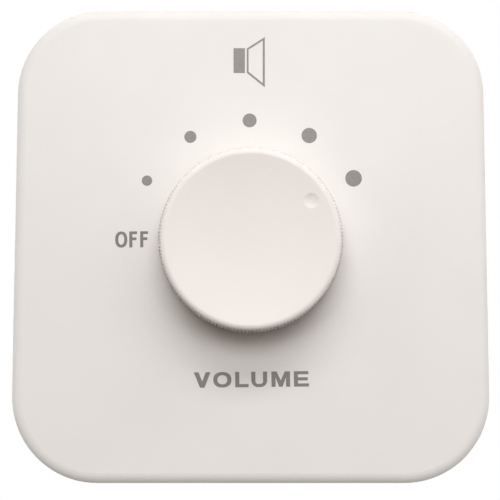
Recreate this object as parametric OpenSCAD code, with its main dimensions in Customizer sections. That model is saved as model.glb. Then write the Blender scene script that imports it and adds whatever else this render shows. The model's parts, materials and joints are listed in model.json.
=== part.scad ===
// Wall volume control: a clip-on plate and dished knob in front of a stepped rotary switch,
// a tapped transformer and a row of screw terminals.
// Each piece is drawn with x to the right, y up the wall and z out into the room, with the wall at z = 0,
// and is then stood upright, so that the finished control faces -Y.

/* [Front cover] */
// Width and height of the square cover
cover_w = 86; // [80:1:110]
// Depth of the cover from the wall to its face
cover_d = 9; // [8.5:0.5:14]
// Thickness of the cover's side walls
cover_wall = 2.2; // [1.6:0.1:3]
// Thickness of the cover's face
cover_face = 2.2; // [1.6:0.1:2.6]
// Radius of the cover's four corners
corner_r = 15.5; // [8:0.5:25]
// Rounding of the cover's front edge
edge_r = 3; // [0.5:0.1:4]
// Angle that rounding turns through before it meets the side
edge_turn = 38; // [30:1:90]
// Height of the knob's axis above the cover's centre
axis_rise = 0.4; // [-1:0.1:1]
// Distance between the two snap hooks on one side
snap_pitch = 40; // [20:1:50]
// Width of a snap hook
snap_w = 8; // [4:0.5:12]
// Height of a snap hook
snap_h = 1.4; // [0.8:0.1:2]
// How far a snap hook stands out of the cover's wall
snap_bite = 0.8; // [0.5:0.1:1.4]
// Width of the notch for prising the cover off
pry_w = 10; // [5:0.5:16]
// Depth of the notch for prising the cover off
pry_d = 1.2; // [0.6:0.1:2]

/* [Mounting frame] */
// Thickness of the frame's floor
frame_t = 2.2; // [1.6:0.1:2.8]
// Thickness of the frame's upstanding wall
frame_wall = 1.5; // [1:0.1:2]
// Height of the wall's solid lip above the snap hooks
frame_lip = 1.3; // [0.8:0.1:1.6]
// Distance between the two fixing screws in the wall box
fix_pitch = 60; // [50:0.1:62]
// Width of a fixing slot
slot_w = 4.2; // [3.4:0.1:5]
// Length of a fixing slot
slot_l = 8; // [6:0.5:12]

/* [Knob] */
// Diameter of the knob next to the cover
knob_base_d = 33.4; // [28:0.2:40]
// Diameter of the knob at its front
knob_top_d = 31.6; // [26:0.2:34]
// Height of the knob
knob_h = 9.6; // [8:0.2:16]
// Gap between the knob and the cover
knob_gap = 0.6; // [0.4:0.1:1.5]
// Thickness of the knob's skirt
knob_wall = 2; // [1.4:0.1:3]
// Thickness of the knob's face in its middle
knob_face = 1.8; // [1.4:0.1:3]
// Rounding of the knob's rim
knob_rim_r = 1.2; // [0.5:0.1:1.6]
// Depth of the dished face
dish_depth = 1.2; // [0.4:0.1:1.5]
// Diameter of the knob's hub
hub_d = 11; // [9.5:0.5:14]
// Thickness of the ribs between hub and skirt
rib_t = 1.2; // [0.8:0.1:2]
// Width of the pointer dimple
dimple_d = 2.6; // [1.6:0.1:4]
// Depth of the pointer dimple
dimple_depth = 0.2; // [0.1:0.1:0.8]
// Distance of the pointer dimple from the axis
dimple_reach = 12.3; // [8:0.1:12.6]
// Direction of the pointer dimple at rest, clockwise from straight up
dimple_angle = 58; // [0:1:90]

/* [Rotary switch] */
// Number of loud positions after the off position
steps = 5; // [3:1:5]
// Angle from one position to the next
step_angle = 30; // [30]
// Diameter of the shaft
shaft_d = 6; // [5:0.1:6.4]
// Depth of the flat on the shaft
shaft_flat = 1.5; // [1:0.1:1.8]
// Thickness of the spring leaf in the knob
clip_t = 0.5; // [0.3:0.05:0.8]
// Outside diameter of the threaded bush
bush_d = 9; // [8.4:0.1:10]
// Width of the bush nut across its flats
nut_af = 12; // [11:0.5:14]
// Thickness of the bush nut
nut_t = 2.5; // [1.8:0.1:3]
// Thickness of the lock washer
washer_t = 0.6; // [0.4:0.1:1]
// Thickness of the retaining ring
ring_t = 0.8; // [0.5:0.1:1]
// Thickness of the index plate
plate_t = 1.5; // [1:0.1:2]
// Diameter of the detent wheel
wheel_d = 17; // [15:0.5:19]
// Thickness of the detent wheel
wheel_t = 2; // [1.2:0.1:2.6]
// Thickness of the detent spring's leaf
spring_t = 0.4; // [0.25:0.05:0.5]
// Diameter of a stop pin
pin_d = 1.6; // [1:0.1:2]
// Distance from the index plate to the wafer
spacer_l = 9; // [8:0.5:14]
// Thickness of the wafer
wafer_t = 1.2; // [0.8:0.1:2]
// Thickness of the contacts
contact_t = 0.4; // [0.25:0.05:0.6]
// Width of a contact
contact_w = 1.8; // [1.2:0.1:2]
// Length of a contact's solder tail
tail_l = 4.5; // [3:0.5:6]
// Diameter of the two studs that hold the wafer
stud_d = 2.5; // [2:0.1:2.8]

/* [Transformer] */
// Thickness of the stack of core plates
core_stack = 9; // [7:0.5:12]
// Width of the core's middle leg
tongue_w = 10; // [8:0.5:12]
// Length of the core's windows
window_l = 19.5; // [14:0.5:24]
// Thickness of the winding
wind_t = 4.6; // [3:0.1:5.4]
// Thickness of the tape round the winding
tape_t = 0.25; // [0.15:0.05:0.5]
// Wall of the bobbin
bobbin_wall = 0.8; // [0.6:0.1:1.2]
// Thickness of the bobbin's flanges
bobbin_flange = 1; // [0.8:0.1:1.6]
// Thickness of the steel strap
strap_t = 1; // [0.6:0.1:1.5]
// Length of a strap ear
ear_l = 7; // [6.5:0.5:9]

/* [Terminals] */
// Number of terminals
ways = 4; // [2:1:5]
// Distance from one terminal to the next
way_pitch = 5; // [4.6:0.1:6]
// Height of the circuit board
board_h = 14; // [13:0.5:18]
// Thickness of the circuit board
board_t = 1.6; // [1:0.1:2]
// Length of the posts that carry the circuit board
post_l = 6.4; // [4:0.2:8]
// Depth of the terminal housing, across its wires' way in
block_d = 9; // [8:0.5:10]
// Height of the terminal housing from the board
block_h = 10; // [9:0.5:13]

/* [Screws and leads] */
// Diameter of the strap's and the board's screws
screw_d = 2.8; // [2.2:0.1:3.2]
// Outside diameter of a lead
lead_d = 1.2; // [0.8:0.1:1.6]

/* [Hidden] */
$fn = 96;

// Clearances
snug = 0.05;
running = 0.04;
loose = 0.25;
past = 1;

// Colours
ivory = [0.93, 0.91, 0.87];
frame_white = [0.86, 0.86, 0.84];
steel = [0.68, 0.69, 0.71];
dark_steel = [0.42, 0.43, 0.45];
brass = [0.80, 0.66, 0.36];
phenolic = [0.52, 0.33, 0.18];
black = [0.12, 0.12, 0.13];
copper = [0.72, 0.42, 0.24];
tape_yellow = [0.90, 0.78, 0.30];
board_green = [0.10, 0.36, 0.20];
block_green = [0.16, 0.46, 0.30];
lead_red = [0.74, 0.14, 0.12];
lead_grey = [0.55, 0.56, 0.58];

// Cover and frame
cover_in_w = cover_w - 2 * cover_wall;
cover_in_r = corner_r - cover_wall;
cover_in_d = cover_d - cover_face;
frame_w = cover_in_w - 2 * loose;
frame_r = cover_in_r - loose;
snap_z1 = cover_in_d - frame_lip - loose;
snap_z0 = snap_z1 - snap_h;
snap_tip = 0.3;

// Bush, nut and retaining ring
shaft_r = shaft_d / 2;
bush_r = bush_d / 2;
washer_rim = 1.2;
washer_r = nut_af / 2 + washer_rim;
tooth_l = 0.7;
tooth_w = 1;
bush_proud = 1;
bush_top = frame_t + washer_t + nut_t + bush_proud;
bush_flange_rim = 2;
bush_flange_r = bush_r + bush_flange_rim;
bush_flange_t = 1.2;
ring_groove = 0.7;
ring_rim = 2.2;
ring_r = shaft_r + ring_rim;
ring_play = 0.15;
ring_z = bush_top + ring_play;
hole_gap = 1.3;
cover_hole_r = ring_r + hole_gap;
tab_gap = 0.9;
tab_size = [2.4, 1.2];
tab_y = washer_r + tab_gap + tab_size.y / 2;

// Knob
knob_z = cover_d + knob_gap;
knob_base_r = knob_base_d / 2;
knob_taper = (knob_base_d - knob_top_d) / 2 / knob_h;
knob_lean = atan(knob_taper);
rim_x = knob_base_r - (knob_rim_r + (knob_h - knob_rim_r) * sin(knob_lean)) / cos(knob_lean);
rim_c = [rim_x, knob_h - knob_rim_r];
rim_touch = rim_c + knob_rim_r * [cos(knob_lean), sin(knob_lean)];
rim_land = 0.2;
dish_reach = rim_x - rim_land;
dish_r = (pow(dish_reach, 2) + pow(dish_depth, 2)) / (2 * dish_depth);
knob_roof = knob_h - dish_depth - knob_face;
hub_r = hub_d / 2;
rib_z = 2;
rib_bury = 0.4;
rib_l = knob_base_r - knob_taper * rib_z - knob_wall - hub_r + 2 * rib_bury;
dimple_r = (pow(dimple_d / 2, 2) + pow(dimple_depth, 2)) / (2 * dimple_depth);
flat_y = shaft_r - shaft_flat;
clip_w = shaft_d * 0.6;
shaft_z1 = knob_z + knob_roof - loose;
flat_z = knob_z - loose;

// Index plate, detent and stops
bush_flange_z = -plate_t - bush_flange_t;
wheel_r = wheel_d / 2;
wheel_z1 = bush_flange_z - loose;
wheel_z0 = wheel_z1 - wheel_t;
spring_side = 0.2;
spring_w = wheel_t - 2 * spring_side;
spring_gap = 0.5;
spring_y = wheel_r + spring_gap;
bump_y = spring_y + spring_t / 2;
bump_r = 1.1;
notch_r = bump_r + loose;
spring_post_r = 1;
spring_post_x = wheel_r + spring_post_r;
spring_post_y = spring_y + spring_t + spring_post_r + snug;
spring_hook = 1.4;
spring_hook_y = spring_y + spring_t + spring_hook;
spring_half = spring_post_x + spring_post_r + loose + spring_t;
travel = steps * step_angle;
lug_w = 1.8;
pin_r = pin_d / 2;
pin_gap = 0.4;
pin_ring = wheel_r + pin_gap + pin_r;
lug_reach = pin_ring + pin_gap;
first_angle = 270 - travel / 2;
stop_turn = asin((lug_w / 2 + pin_r + loose) / pin_ring);
stop_angles = [first_angle - stop_turn, first_angle + travel + stop_turn];

// Wafer: the contacts lie on its back, and the wiper sweeps just behind them
wafer_z1 = -plate_t - spacer_l;
wafer_z0 = wafer_z1 - wafer_t;
contact_z = wafer_z0 - contact_t;
wipe_gap = 0.1;
rotor_z0 = contact_z - wipe_gap;
rotor_wall = 3;
rotor_r = shaft_r + rotor_wall;
rotor_lip = 1.5;
rotor_flange_r = rotor_r + rotor_lip;
rotor_flange_t = 0.8;
wiper_z = rotor_z0 - contact_t;
wiper_rim = 2;
wiper_r = rotor_r + wiper_rim;
contact_gap = 0.8;
contact_in = wiper_r + contact_gap;
wiper_lap = 1.4;
wiper_reach = contact_in + wiper_lap;
rivet_in = 1.9;
contact_rivet = contact_in + rivet_in;
rivet_edge = 1.3;
contact_out = contact_rivet + rivet_edge;
common_gap = 0.9;
common_in = rotor_r + common_gap;
common_angle = 90;
rivet_r = 0.7;
rivet_head_r = 1.2;
rivet_head_t = 0.4;
eye_r = 0.45;
eye_in = 1.6;
tongue_t = shaft_d * 0.4;
tongue_past = 2;
shaft_z0 = wiper_z - tongue_past;
contact_angles = [for (k = [0:steps]) first_angle + k * step_angle];

// Studs, spacers and nuts
stud_r = stud_d / 2;
stud_gap = 0.95;
stud_x = contact_out + stud_gap + stud_r;
stud_nut_af = 2 * stud_d;
stud_nut_t = stud_d * 0.8;
stud_past = 1;
stud_z = wafer_z0 - stud_nut_t - stud_past;
spacer_wall = 1;
spacer_r = stud_r + spacer_wall;
stud_edge = 3.2;
wafer_r = stud_x + stud_edge;
wafer_edge = 1.2;
wafer_h = 2 * (contact_out + wafer_edge);
plate_w = 2 * (stud_x + stud_edge);
plate_edge = 1.2;
plate_h = 2 * (spring_post_y + spring_post_r + plate_edge);
plate_r = 2;
switch_h = max(wafer_h, plate_h) / 2;

// Transformer, below the switch
under_gap = 1.5;
core_gap = 0.4;
bobbin_gap = 0.2;
flange_lip = 0.3;
leg_w = tongue_w / 2;
tube_half = [tongue_w, core_stack] / 2 + [1, 1] * (bobbin_gap + bobbin_wall);
coil_half = tube_half + [1, 1] * wind_t;
tape_half = coil_half + [1, 1] * (tape_t + snug);
flange_half = tape_half + [1, 1] * flange_lip;
window_w = flange_half.x + loose - tongue_w / 2;
core_w = tongue_w + 2 * window_w + 2 * leg_w;
core_y = axis_rise - switch_h - under_gap - flange_half.y;
core_z1 = -core_gap;
window_z1 = core_z1 - leg_w;
window_z0 = window_z1 - window_l;
core_z0 = window_z0 - leg_w;
bobbin_z1 = window_z1 - bobbin_gap;
bobbin_z0 = window_z0 + bobbin_gap;
coil_z1 = bobbin_z1 - bobbin_flange - snug;
coil_z0 = bobbin_z0 + bobbin_flange + snug;
strap_edge = 0.5;
strap_w = core_stack - 2 * strap_edge;
ear_x = core_w / 2 + strap_t + ear_l / 2;
tap_count = steps + 1;
tap_pin_r = 0.4;
tap_pin_in = 1.2;
tap_pin_y = core_y + coil_half.y - tap_pin_in;
tap_pin_l = 4.5;
tap_pin_z = bobbin_z0 - tap_pin_l;
tap_edge = 1;
tap_span = 2 * (flange_half.x - tap_edge);
tap_pitch = tap_span / (tap_count + 1);

// Circuit board and terminals, above the switch
over_gap = 1.5;
block_end = 0.5;
block_w = ways * way_pitch + 2 * block_end;
board_side = 9.5;
board_w = block_w + 2 * board_side;
board_y = axis_rise + switch_h + over_gap + board_h / 2;
board_z1 = -post_l;
board_z0 = board_z1 - board_t;
board_post_r = 2.8;
board_post_in = 3.4;
board_post_x = board_w / 2 - board_post_in;
block_in = 0.4;
block_y = board_y + (board_h - block_d) / 2 - block_in;
block_floor = 1.4;
cave_back = 1.2;
cave = [3.4, block_d - cave_back, 3.6];
cave_z = board_z0 - block_floor - cave.z / 2;
cage = [cave.x, cave.z] - [1, 1] * 2 * snug;
cage_wall = 0.5;
cage_l = 5.5;
cage_y = block_y + block_d / 2 - cave.y + cage_l / 2 + snug;
clamp_screw_r = 1.1;
clamp_head_r = 1.6;
clamp_head_t = 2;
block_z0 = board_z0 - block_h;
clamp_head_in = 0.8;
clamp_head_z = block_z0 + clamp_head_in;
pin_leg_r = 0.5;
pin_leg_past = 1.2;
pin_leg_z = board_z1 + pin_leg_past;
way_x = [for (k = [0:ways - 1]) (k - (ways - 1) / 2) * way_pitch];

// Screws and leads
screw_r = screw_d / 2;
screw_head_rim = 1.3;
screw_head_r = screw_r + screw_head_rim;
screw_head_t = 2;
screw_past = 0.8;
drive_w = 0.7;
drive_t = 0.9;
lead_r = lead_d / 2;
lead_sides = 8;
lead_rings = 12;
lead_back = 5;
tail_r = contact_out - contact_t / 2;
tail_z = contact_z - tail_l;
pad_in = 1.8;
pad_y = board_y - board_h / 2 + pad_in;
pad_side = 1.5;
line_pad_x = block_w / 2 + pad_side;

// Stands a piece upright, with its front towards -Y
module upright() {
  rotate([90, 0, 0]) children();
}

// Moves a piece to the knob's axis, at depth z
module at_axis(z = 0) {
  translate([0, axis_rise, z]) children();
}

// Extrudes a side view, drawn in y and z, along x
module along_x(length) {
  rotate([90, 0, 90]) linear_extrude(length, center = true) children();
}

// Rectangle with round corners
module round_rect(w, h, r) {
  square([w - 2 * r, h], center = true);
  square([w, h - 2 * r], center = true);
  for (x = [-1, 1], y = [-1, 1])
    translate([x * (w / 2 - r), y * (h / 2 - r)]) circle(r);
}

// Half section of a block's side, its outer front edge rounded through an angle
module edge_section(reach, h, r, turn) {
  run = r * sin(turn);
  drop = r * (1 - cos(turn));
  square([reach, h - drop]);
  square([reach - run, h]);
  intersection() {
    square([reach, h]);
    translate([reach - run, h - r]) circle(r);
  }
}

// Square block with round corners and a round front edge
module soft_block(w, r, h, edge, turn) {
  flat = w - 2 * r;
  linear_extrude(h) square(flat, center = true);
  for (side = [0:90:270])
    rotate(side) translate([flat / 2, flat / 2, 0]) {
      rotate([90, 0, 0]) linear_extrude(flat) edge_section(r, h, edge, turn);
      rotate_extrude(angle = 90) edge_section(r, h, edge, turn);
    }
}

// Pan head screw with its head's seat at z = 0, pointing to +z
module pan_screw(length) {
  cylinder(h = length, r = screw_r);
  difference() {
    translate([0, 0, -screw_head_t]) cylinder(h = screw_head_t, r = screw_head_r);
    for (turn = [0, 90])
      rotate(turn) translate([0, 0, -screw_head_t])
        cube([1.3 * screw_head_r, drive_w, 2 * drive_t], center = true);
  }
}

// Hexagon nut, standing on z = 0
module hex_nut(across_flats, h, hole_r) {
  linear_extrude(h) difference() {
    circle(d = across_flats / cos(30), $fn = 6);
    circle(hole_r);
  }
}

// Direction at angle a, at radius r from the knob's axis
function around(a, r) = [r * cos(a), axis_rise + r * sin(a)];

function unit(v) = v / norm(v);

function bend(p, t) =
  p[0] * pow(1 - t, 3) + 3 * p[1] * t * pow(1 - t, 2) + 3 * p[2] * t * t * (1 - t) + p[3] * pow(t, 3);

function bend_way(p, t) =
  unit((p[1] - p[0]) * pow(1 - t, 2) + 2 * (p[2] - p[1]) * t * (1 - t) + (p[3] - p[2]) * t * t);

// Insulated lead along one smooth bend through four guide points
module lead(guide) {
  points = [
    for (i = [0:lead_rings])
      let (
        t = i / lead_rings,
        way = bend_way(guide, t),
        side = unit(cross(way, [1, 0, 0])),
        top = cross(side, way)
      )
        for (k = [0:lead_sides - 1])
          let (a = 360 * k / lead_sides) bend(guide, t) + lead_r * (cos(a) * side + sin(a) * top)
  ];
  last = lead_rings * lead_sides;
  faces = concat(
    [[for (k = [lead_sides - 1:-1:0]) k]],
    [[for (k = [0:lead_sides - 1]) last + k]],
    [for (i = [0:lead_rings - 1], k = [0:lead_sides - 1])
      let (a = i * lead_sides + k, b = i * lead_sides + (k + 1) % lead_sides)
        [a, b, b + lead_sides]],
    [for (i = [0:lead_rings - 1], k = [0:lead_sides - 1])
      let (a = i * lead_sides + k, b = i * lead_sides + (k + 1) % lead_sides)
        [a, b + lead_sides, a + lead_sides]]
  );
  polyhedron(points, faces);
}

// Cover with a hollow back, snap hooks along its top and bottom walls, and a hole for the shaft
module front_cover() {
  color(ivory) upright() {
    difference() {
      soft_block(cover_w, corner_r, cover_d, edge_r, edge_turn);
      translate([0, 0, -past])
        linear_extrude(cover_in_d + past) round_rect(cover_in_w, cover_in_w, cover_in_r);
      at_axis() cylinder(h = cover_d + past, r = cover_hole_r);
      translate([-pry_w / 2, -cover_w / 2 - past, -past]) cube([pry_w, cover_wall + 2 * past, pry_d + past]);
    }
    for (side = [0, 1], x = [-1, 1])
      mirror([0, side, 0]) translate([x * snap_pitch / 2, cover_in_w / 2, 0]) snap_hook();
  }
}

// Hook with a lead-in behind and a flat catch in front
module snap_hook() {
  root = cover_wall / 2;
  along_x(snap_w) polygon([
    [root, snap_z0], [0, snap_z0], [-snap_bite, snap_z1 - snap_tip], [-snap_bite, snap_z1], [root, snap_z1]
  ]);
}

// Tray behind the cover, with its fixing slots, the switch's seat and the board's posts
module mounting_frame() {
  color(frame_white) upright() difference() {
    union() {
      difference() {
        linear_extrude(cover_in_d) round_rect(frame_w, frame_w, frame_r);
        translate([0, 0, frame_t]) linear_extrude(cover_in_d)
          round_rect(frame_w - 2 * frame_wall, frame_w - 2 * frame_wall, frame_r - frame_wall);
      }
      for (x = [-1, 1])
        translate([x * board_post_x, board_y, -post_l]) cylinder(h = post_l + frame_t / 2, r = board_post_r);
    }
    at_axis(-past) cylinder(h = frame_t + 2 * past, r = bush_r + loose);
    at_axis() translate([0, tab_y, 0])
      cube([tab_size.x, tab_size.y, 4 * frame_t] + [1, 1, 0] * 2 * loose, center = true);
    for (x = [-1, 1]) {
      translate([x * fix_pitch / 2, 0, -past])
        linear_extrude(frame_t + 2 * past) round_slot(slot_l, slot_w / 2);
      translate([x * ear_x, core_y, -past]) cylinder(h = frame_t + 2 * past, r = screw_r + snug);
      translate([x * board_post_x, board_y, -post_l - past])
        cylinder(h = post_l + frame_t + 2 * past, r = screw_r + snug);
    }
    for (side = [-1, 1], x = [-1, 1])
      translate([x * snap_pitch / 2, side * frame_w / 2, (snap_z0 + snap_z1) / 2])
        cube([snap_w + 2 * loose, 3 * frame_wall, snap_h + 2 * loose], center = true);
  }
}

// Slot along x with round ends
module round_slot(length, r) {
  square([length - 2 * r, 2 * r], center = true);
  for (x = [-1, 1])
    translate([x * (length / 2 - r), 0]) circle(r);
}

// Tapered knob with a dished face, hollow behind, with a ribbed hub and a dimple as its pointer
module knob() {
  color(ivory) upright() at_axis(knob_z) difference() {
    union() {
      difference() {
        rotate_extrude() knob_section();
        translate([0, 0, -past]) cylinder(
          h = knob_roof + past,
          r1 = knob_base_r + knob_taper * past - knob_wall,
          r2 = knob_base_r - knob_taper * knob_roof - knob_wall
        );
      }
      cylinder(h = knob_roof + knob_face / 2, r = hub_r);
      for (turn = [45:90:315])
        rotate(turn) translate([hub_r - rib_bury, -rib_t / 2, rib_z])
          cube([rib_l, rib_t, knob_roof + rib_bury - rib_z]);
    }
    translate([0, 0, -past]) linear_extrude(knob_roof + past) difference() {
      circle(shaft_r + snug);
      translate([-shaft_d, flat_y + clip_t + 2 * snug]) square(2 * shaft_d);
    }
    rotate(-dimple_angle) translate([0, dimple_reach, dish_height(dimple_reach) + dimple_r - dimple_depth])
      sphere(dimple_r);
  }
}

// Height of the dished face at radius r
function dish_height(r) = knob_h - dish_depth + dish_r - sqrt(pow(dish_r, 2) - r * r);

// Half section of the knob's outside
module knob_section() {
  difference() {
    union() {
      polygon([[0, 0], [knob_base_r, 0], rim_touch, [rim_c.x, knob_h], [0, knob_h]]);
      translate(rim_c) circle(knob_rim_r);
    }
    translate([0, knob_h - dish_depth + dish_r]) circle(dish_r, $fn = 720);
  }
}

// Spring leaf between the shaft's flat and the hub
module knob_clip() {
  color(steel) upright() at_axis(knob_z)
    translate([-clip_w / 2, flat_y + snug, 0]) cube([clip_w, clip_t, knob_roof - loose]);
}

// Shaft with a flat for the knob, a groove for the ring and a tongue for the rotor
module switch_shaft() {
  color(steel) upright() at_axis() difference() {
    union() {
      translate([0, 0, wheel_z0]) cylinder(h = shaft_z1 - wheel_z0, r = shaft_r);
      intersection() {
        translate([0, 0, shaft_z0]) cylinder(h = wheel_z1 - shaft_z0, r = shaft_r);
        translate([-shaft_d, -tongue_t / 2, shaft_z0]) cube([2 * shaft_d, tongue_t, wheel_z1 - shaft_z0]);
      }
    }
    translate([-shaft_d, flat_y, flat_z]) cube([2 * shaft_d, shaft_d, shaft_z1]);
    translate([0, 0, ring_z - snug]) difference() {
      cylinder(h = ring_t + 2 * snug, r = shaft_d);
      translate([0, 0, -past]) cylinder(h = ring_t + 2 * past, r = shaft_r - ring_groove);
    }
  }
}

// E-clip in the shaft's groove
module retaining_ring() {
  inner_r = shaft_r - ring_groove + snug;
  color(dark_steel) upright() at_axis(ring_z) linear_extrude(ring_t) difference() {
    circle(ring_r);
    circle(inner_r);
    translate([-inner_r * 0.9, -2 * ring_r]) square([inner_r * 1.8, 2 * ring_r]);
  }
}

// Flanged bush, the shaft's bearing
module switch_bush() {
  color(brass) upright() at_axis() difference() {
    union() {
      translate([0, 0, bush_flange_z]) cylinder(h = bush_flange_t, r = bush_flange_r);
      translate([0, 0, bush_flange_z]) cylinder(h = bush_top - bush_flange_z, r = bush_r);
    }
    translate([0, 0, bush_flange_z - past])
      cylinder(h = bush_top - bush_flange_z + 2 * past, r = shaft_r + running);
  }
}

// Washer with inner teeth
module lock_washer() {
  teeth = 8;
  color(steel) upright() at_axis(frame_t) linear_extrude(washer_t) difference() {
    circle(washer_r);
    circle(bush_r + snug);
    for (k = [0:teeth - 1])
      rotate(k * 360 / teeth) translate([bush_r, 0]) square([2 * tooth_l, tooth_w], center = true);
  }
}

module bush_nut() {
  color(brass) upright() at_axis(frame_t + washer_t) hex_nut(nut_af, nut_t, bush_r + snug);
}

// Steel plate of the switch, with a tab that keys it to the frame and two posts for the spring
module index_plate() {
  color(steel) upright() at_axis() {
    difference() {
      translate([0, 0, -plate_t]) linear_extrude(plate_t) round_rect(plate_w, plate_h, plate_r);
      translate([0, 0, -plate_t - past]) linear_extrude(plate_t + 2 * past) {
        circle(bush_r + snug);
        for (x = [-1, 1])
          translate([x * stud_x, 0]) circle(stud_r + snug);
        for (a = stop_angles)
          rotate(a) translate([pin_ring, 0]) circle(pin_r + snug);
      }
    }
    translate([-tab_size.x / 2, tab_y - tab_size.y / 2, -plate_t / 2])
      cube([tab_size.x, tab_size.y, plate_t / 2 + frame_t - loose]);
    for (x = [-1, 1])
      translate([x * spring_post_x, spring_post_y, wheel_z0 - loose])
        cylinder(h = -plate_t / 2 - wheel_z0 + loose, r = spring_post_r);
  }
}

// Two pins that the wheel's lug meets at the ends of its travel
module stop_pins() {
  color(dark_steel) upright() at_axis(wheel_z0 - loose)
    for (a = stop_angles)
      rotate(a) translate([pin_ring, 0, 0]) cylinder(h = loose - wheel_z0, r = pin_r);
}

// Notched wheel on the shaft, with its stop lug
module detent_wheel() {
  color(steel) upright() at_axis(wheel_z0) linear_extrude(wheel_t) difference() {
    union() {
      circle(wheel_r);
      rotate(first_angle) translate([wheel_r / 2, -lug_w / 2]) square([lug_reach - wheel_r / 2, lug_w]);
    }
    for (turn = [0:step_angle:359])
      rotate(turn) translate([0, bump_y]) circle(notch_r);
    circle(shaft_r + snug);
  }
}

// Leaf spring across the top of the wheel, with a bump in the top notch and ends hooked over the posts
module detent_spring() {
  spring_z = (wheel_z0 + wheel_z1 - spring_w) / 2;
  color(dark_steel) upright() at_axis(spring_z) linear_extrude(spring_w) difference() {
    union() {
      polygon([
        [-spring_half, spring_y], [spring_half, spring_y],
        [spring_half, spring_hook_y], [spring_half - spring_t, spring_hook_y],
        [spring_half - spring_t, spring_y + spring_t], [spring_t - spring_half, spring_y + spring_t],
        [spring_t - spring_half, spring_hook_y], [-spring_half, spring_hook_y]
      ]);
      intersection() {
        translate([0, bump_y]) circle(bump_r);
        translate([-bump_r, bump_y - 2 * bump_r]) square(2 * bump_r);
      }
    }
    translate([0, bump_y]) circle(bump_r - spring_t);
  }
}

module switch_studs() {
  color(dark_steel) upright() at_axis(stud_z)
    for (x = [-1, 1])
      translate([x * stud_x, 0, 0]) cylinder(h = -stud_z, r = stud_r);
}

module spacer_tubes() {
  color(brass) upright() at_axis(wafer_z1)
    for (x = [-1, 1])
      translate([x * stud_x, 0, 0]) difference() {
        cylinder(h = spacer_l, r = spacer_r);
        translate([0, 0, -past]) cylinder(h = spacer_l + 2 * past, r = stud_r + snug);
      }
}

module stud_nuts() {
  color(steel) upright() at_axis(wafer_z0 - stud_nut_t)
    for (x = [-1, 1])
      translate([x * stud_x, 0, 0]) hex_nut(stud_nut_af, stud_nut_t, stud_r + snug);
}

// Fixed wafer, drilled for its rotor, studs and rivets
module wafer_stator() {
  color(phenolic) upright() at_axis(wafer_z0) linear_extrude(wafer_t) difference() {
    intersection() {
      circle(wafer_r);
      square([2 * wafer_r, wafer_h], center = true);
    }
    circle(rotor_r + loose);
    for (x = [-1, 1])
      translate([x * stud_x, 0]) circle(stud_r + snug);
    for (a = concat(contact_angles, [common_angle]))
      rotate(a) translate([contact_rivet, 0]) circle(rivet_r + snug);
  }
}

// Contact along +x from radius r, riveted through the wafer, with a solder tail bent back
module wafer_contact(r) {
  translate([r, -contact_w / 2, contact_z]) cube([contact_out - r, contact_w, contact_t]);
  difference() {
    translate([contact_out - contact_t, -contact_w / 2, tail_z])
      cube([contact_t, contact_w, tail_l + contact_t]);
    translate([contact_out, 0, tail_z + eye_in]) rotate([0, 90, 0])
      cylinder(h = 4 * contact_t, r = eye_r, center = true);
  }
  translate([contact_rivet, 0, contact_z]) cylinder(h = contact_t + wafer_t + rivet_head_t / 2, r = rivet_r);
  translate([contact_rivet, 0, wafer_z1]) cylinder(h = rivet_head_t, r = rivet_head_r);
}

module stator_contacts() {
  color(brass) upright() at_axis()
    for (a = contact_angles)
      rotate(a) wafer_contact(contact_in);
}

module common_contact() {
  color(brass) upright() at_axis() rotate(common_angle) wafer_contact(common_in);
}

// Rotor in the wafer's hole, driven by the shaft's tongue
module wafer_rotor() {
  front_z = wafer_z1 + loose;
  color(black) upright() at_axis() difference() {
    union() {
      translate([0, 0, rotor_z0]) cylinder(h = front_z + rotor_flange_t - rotor_z0, r = rotor_r);
      translate([0, 0, front_z]) cylinder(h = rotor_flange_t, r = rotor_flange_r);
    }
    translate([0, 0, rotor_z0 - past]) linear_extrude(4 * past + front_z - rotor_z0) tongue_hole();
  }
}

// Slot that the shaft's tongue passes through
module tongue_hole() {
  intersection() {
    circle(shaft_r + snug);
    square([2 * shaft_d, tongue_t + 2 * snug], center = true);
  }
}

// Wiper ring with one finger, which rests on the loudest contact
module rotor_contact() {
  color(brass) upright() at_axis(wiper_z) linear_extrude(contact_t) difference() {
    union() {
      circle(wiper_r);
      rotate(first_angle) translate([0, -contact_w / 2]) square([wiper_reach, contact_w]);
    }
    circle(shaft_r + loose);
  }
}

// E-shaped plates of the core, open towards the wall's front
module core_e() {
  color(dark_steel) upright() translate([0, core_y, 0]) {
    translate([-core_w / 2, -core_stack / 2, core_z0]) cube([core_w, core_stack, leg_w]);
    for (x = [-1, 1])
      translate([x * (core_w - leg_w) / 2, 0, (core_z0 + window_z1) / 2])
        cube([leg_w, core_stack, window_z1 - core_z0], center = true);
    translate([-tongue_w / 2, -core_stack / 2, core_z0]) cube([tongue_w, core_stack, window_z1 - core_z0]);
  }
}

// Straight plates that close the core
module core_i() {
  color(dark_steel) upright()
    translate([-core_w / 2, core_y - core_stack / 2, window_z1]) cube([core_w, core_stack, leg_w]);
}

// Square tube with a flange at each end, round the core's middle leg
module bobbin() {
  color(black) upright() translate([0, core_y, bobbin_z0]) difference() {
    union() {
      linear_extrude(bobbin_z1 - bobbin_z0) square(2 * tube_half, center = true);
      for (z = [0, bobbin_z1 - bobbin_z0 - bobbin_flange])
        translate([0, 0, z]) linear_extrude(bobbin_flange) square(2 * flange_half, center = true);
    }
    translate([0, 0, -past]) linear_extrude(bobbin_z1 - bobbin_z0 + 2 * past)
      square([tongue_w, core_stack] + [1, 1] * 2 * bobbin_gap, center = true);
    for (x = tap_pin_x())
      translate([x, tap_pin_y - core_y, -past]) cylinder(h = bobbin_flange + 2 * past, r = tap_pin_r + snug);
  }
}

// Places of the pins along the back flange: a line pin at each end and the taps between them
function tap_pin_x() = [for (k = [0:tap_count + 1]) -tap_span / 2 + k * tap_pitch];

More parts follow.
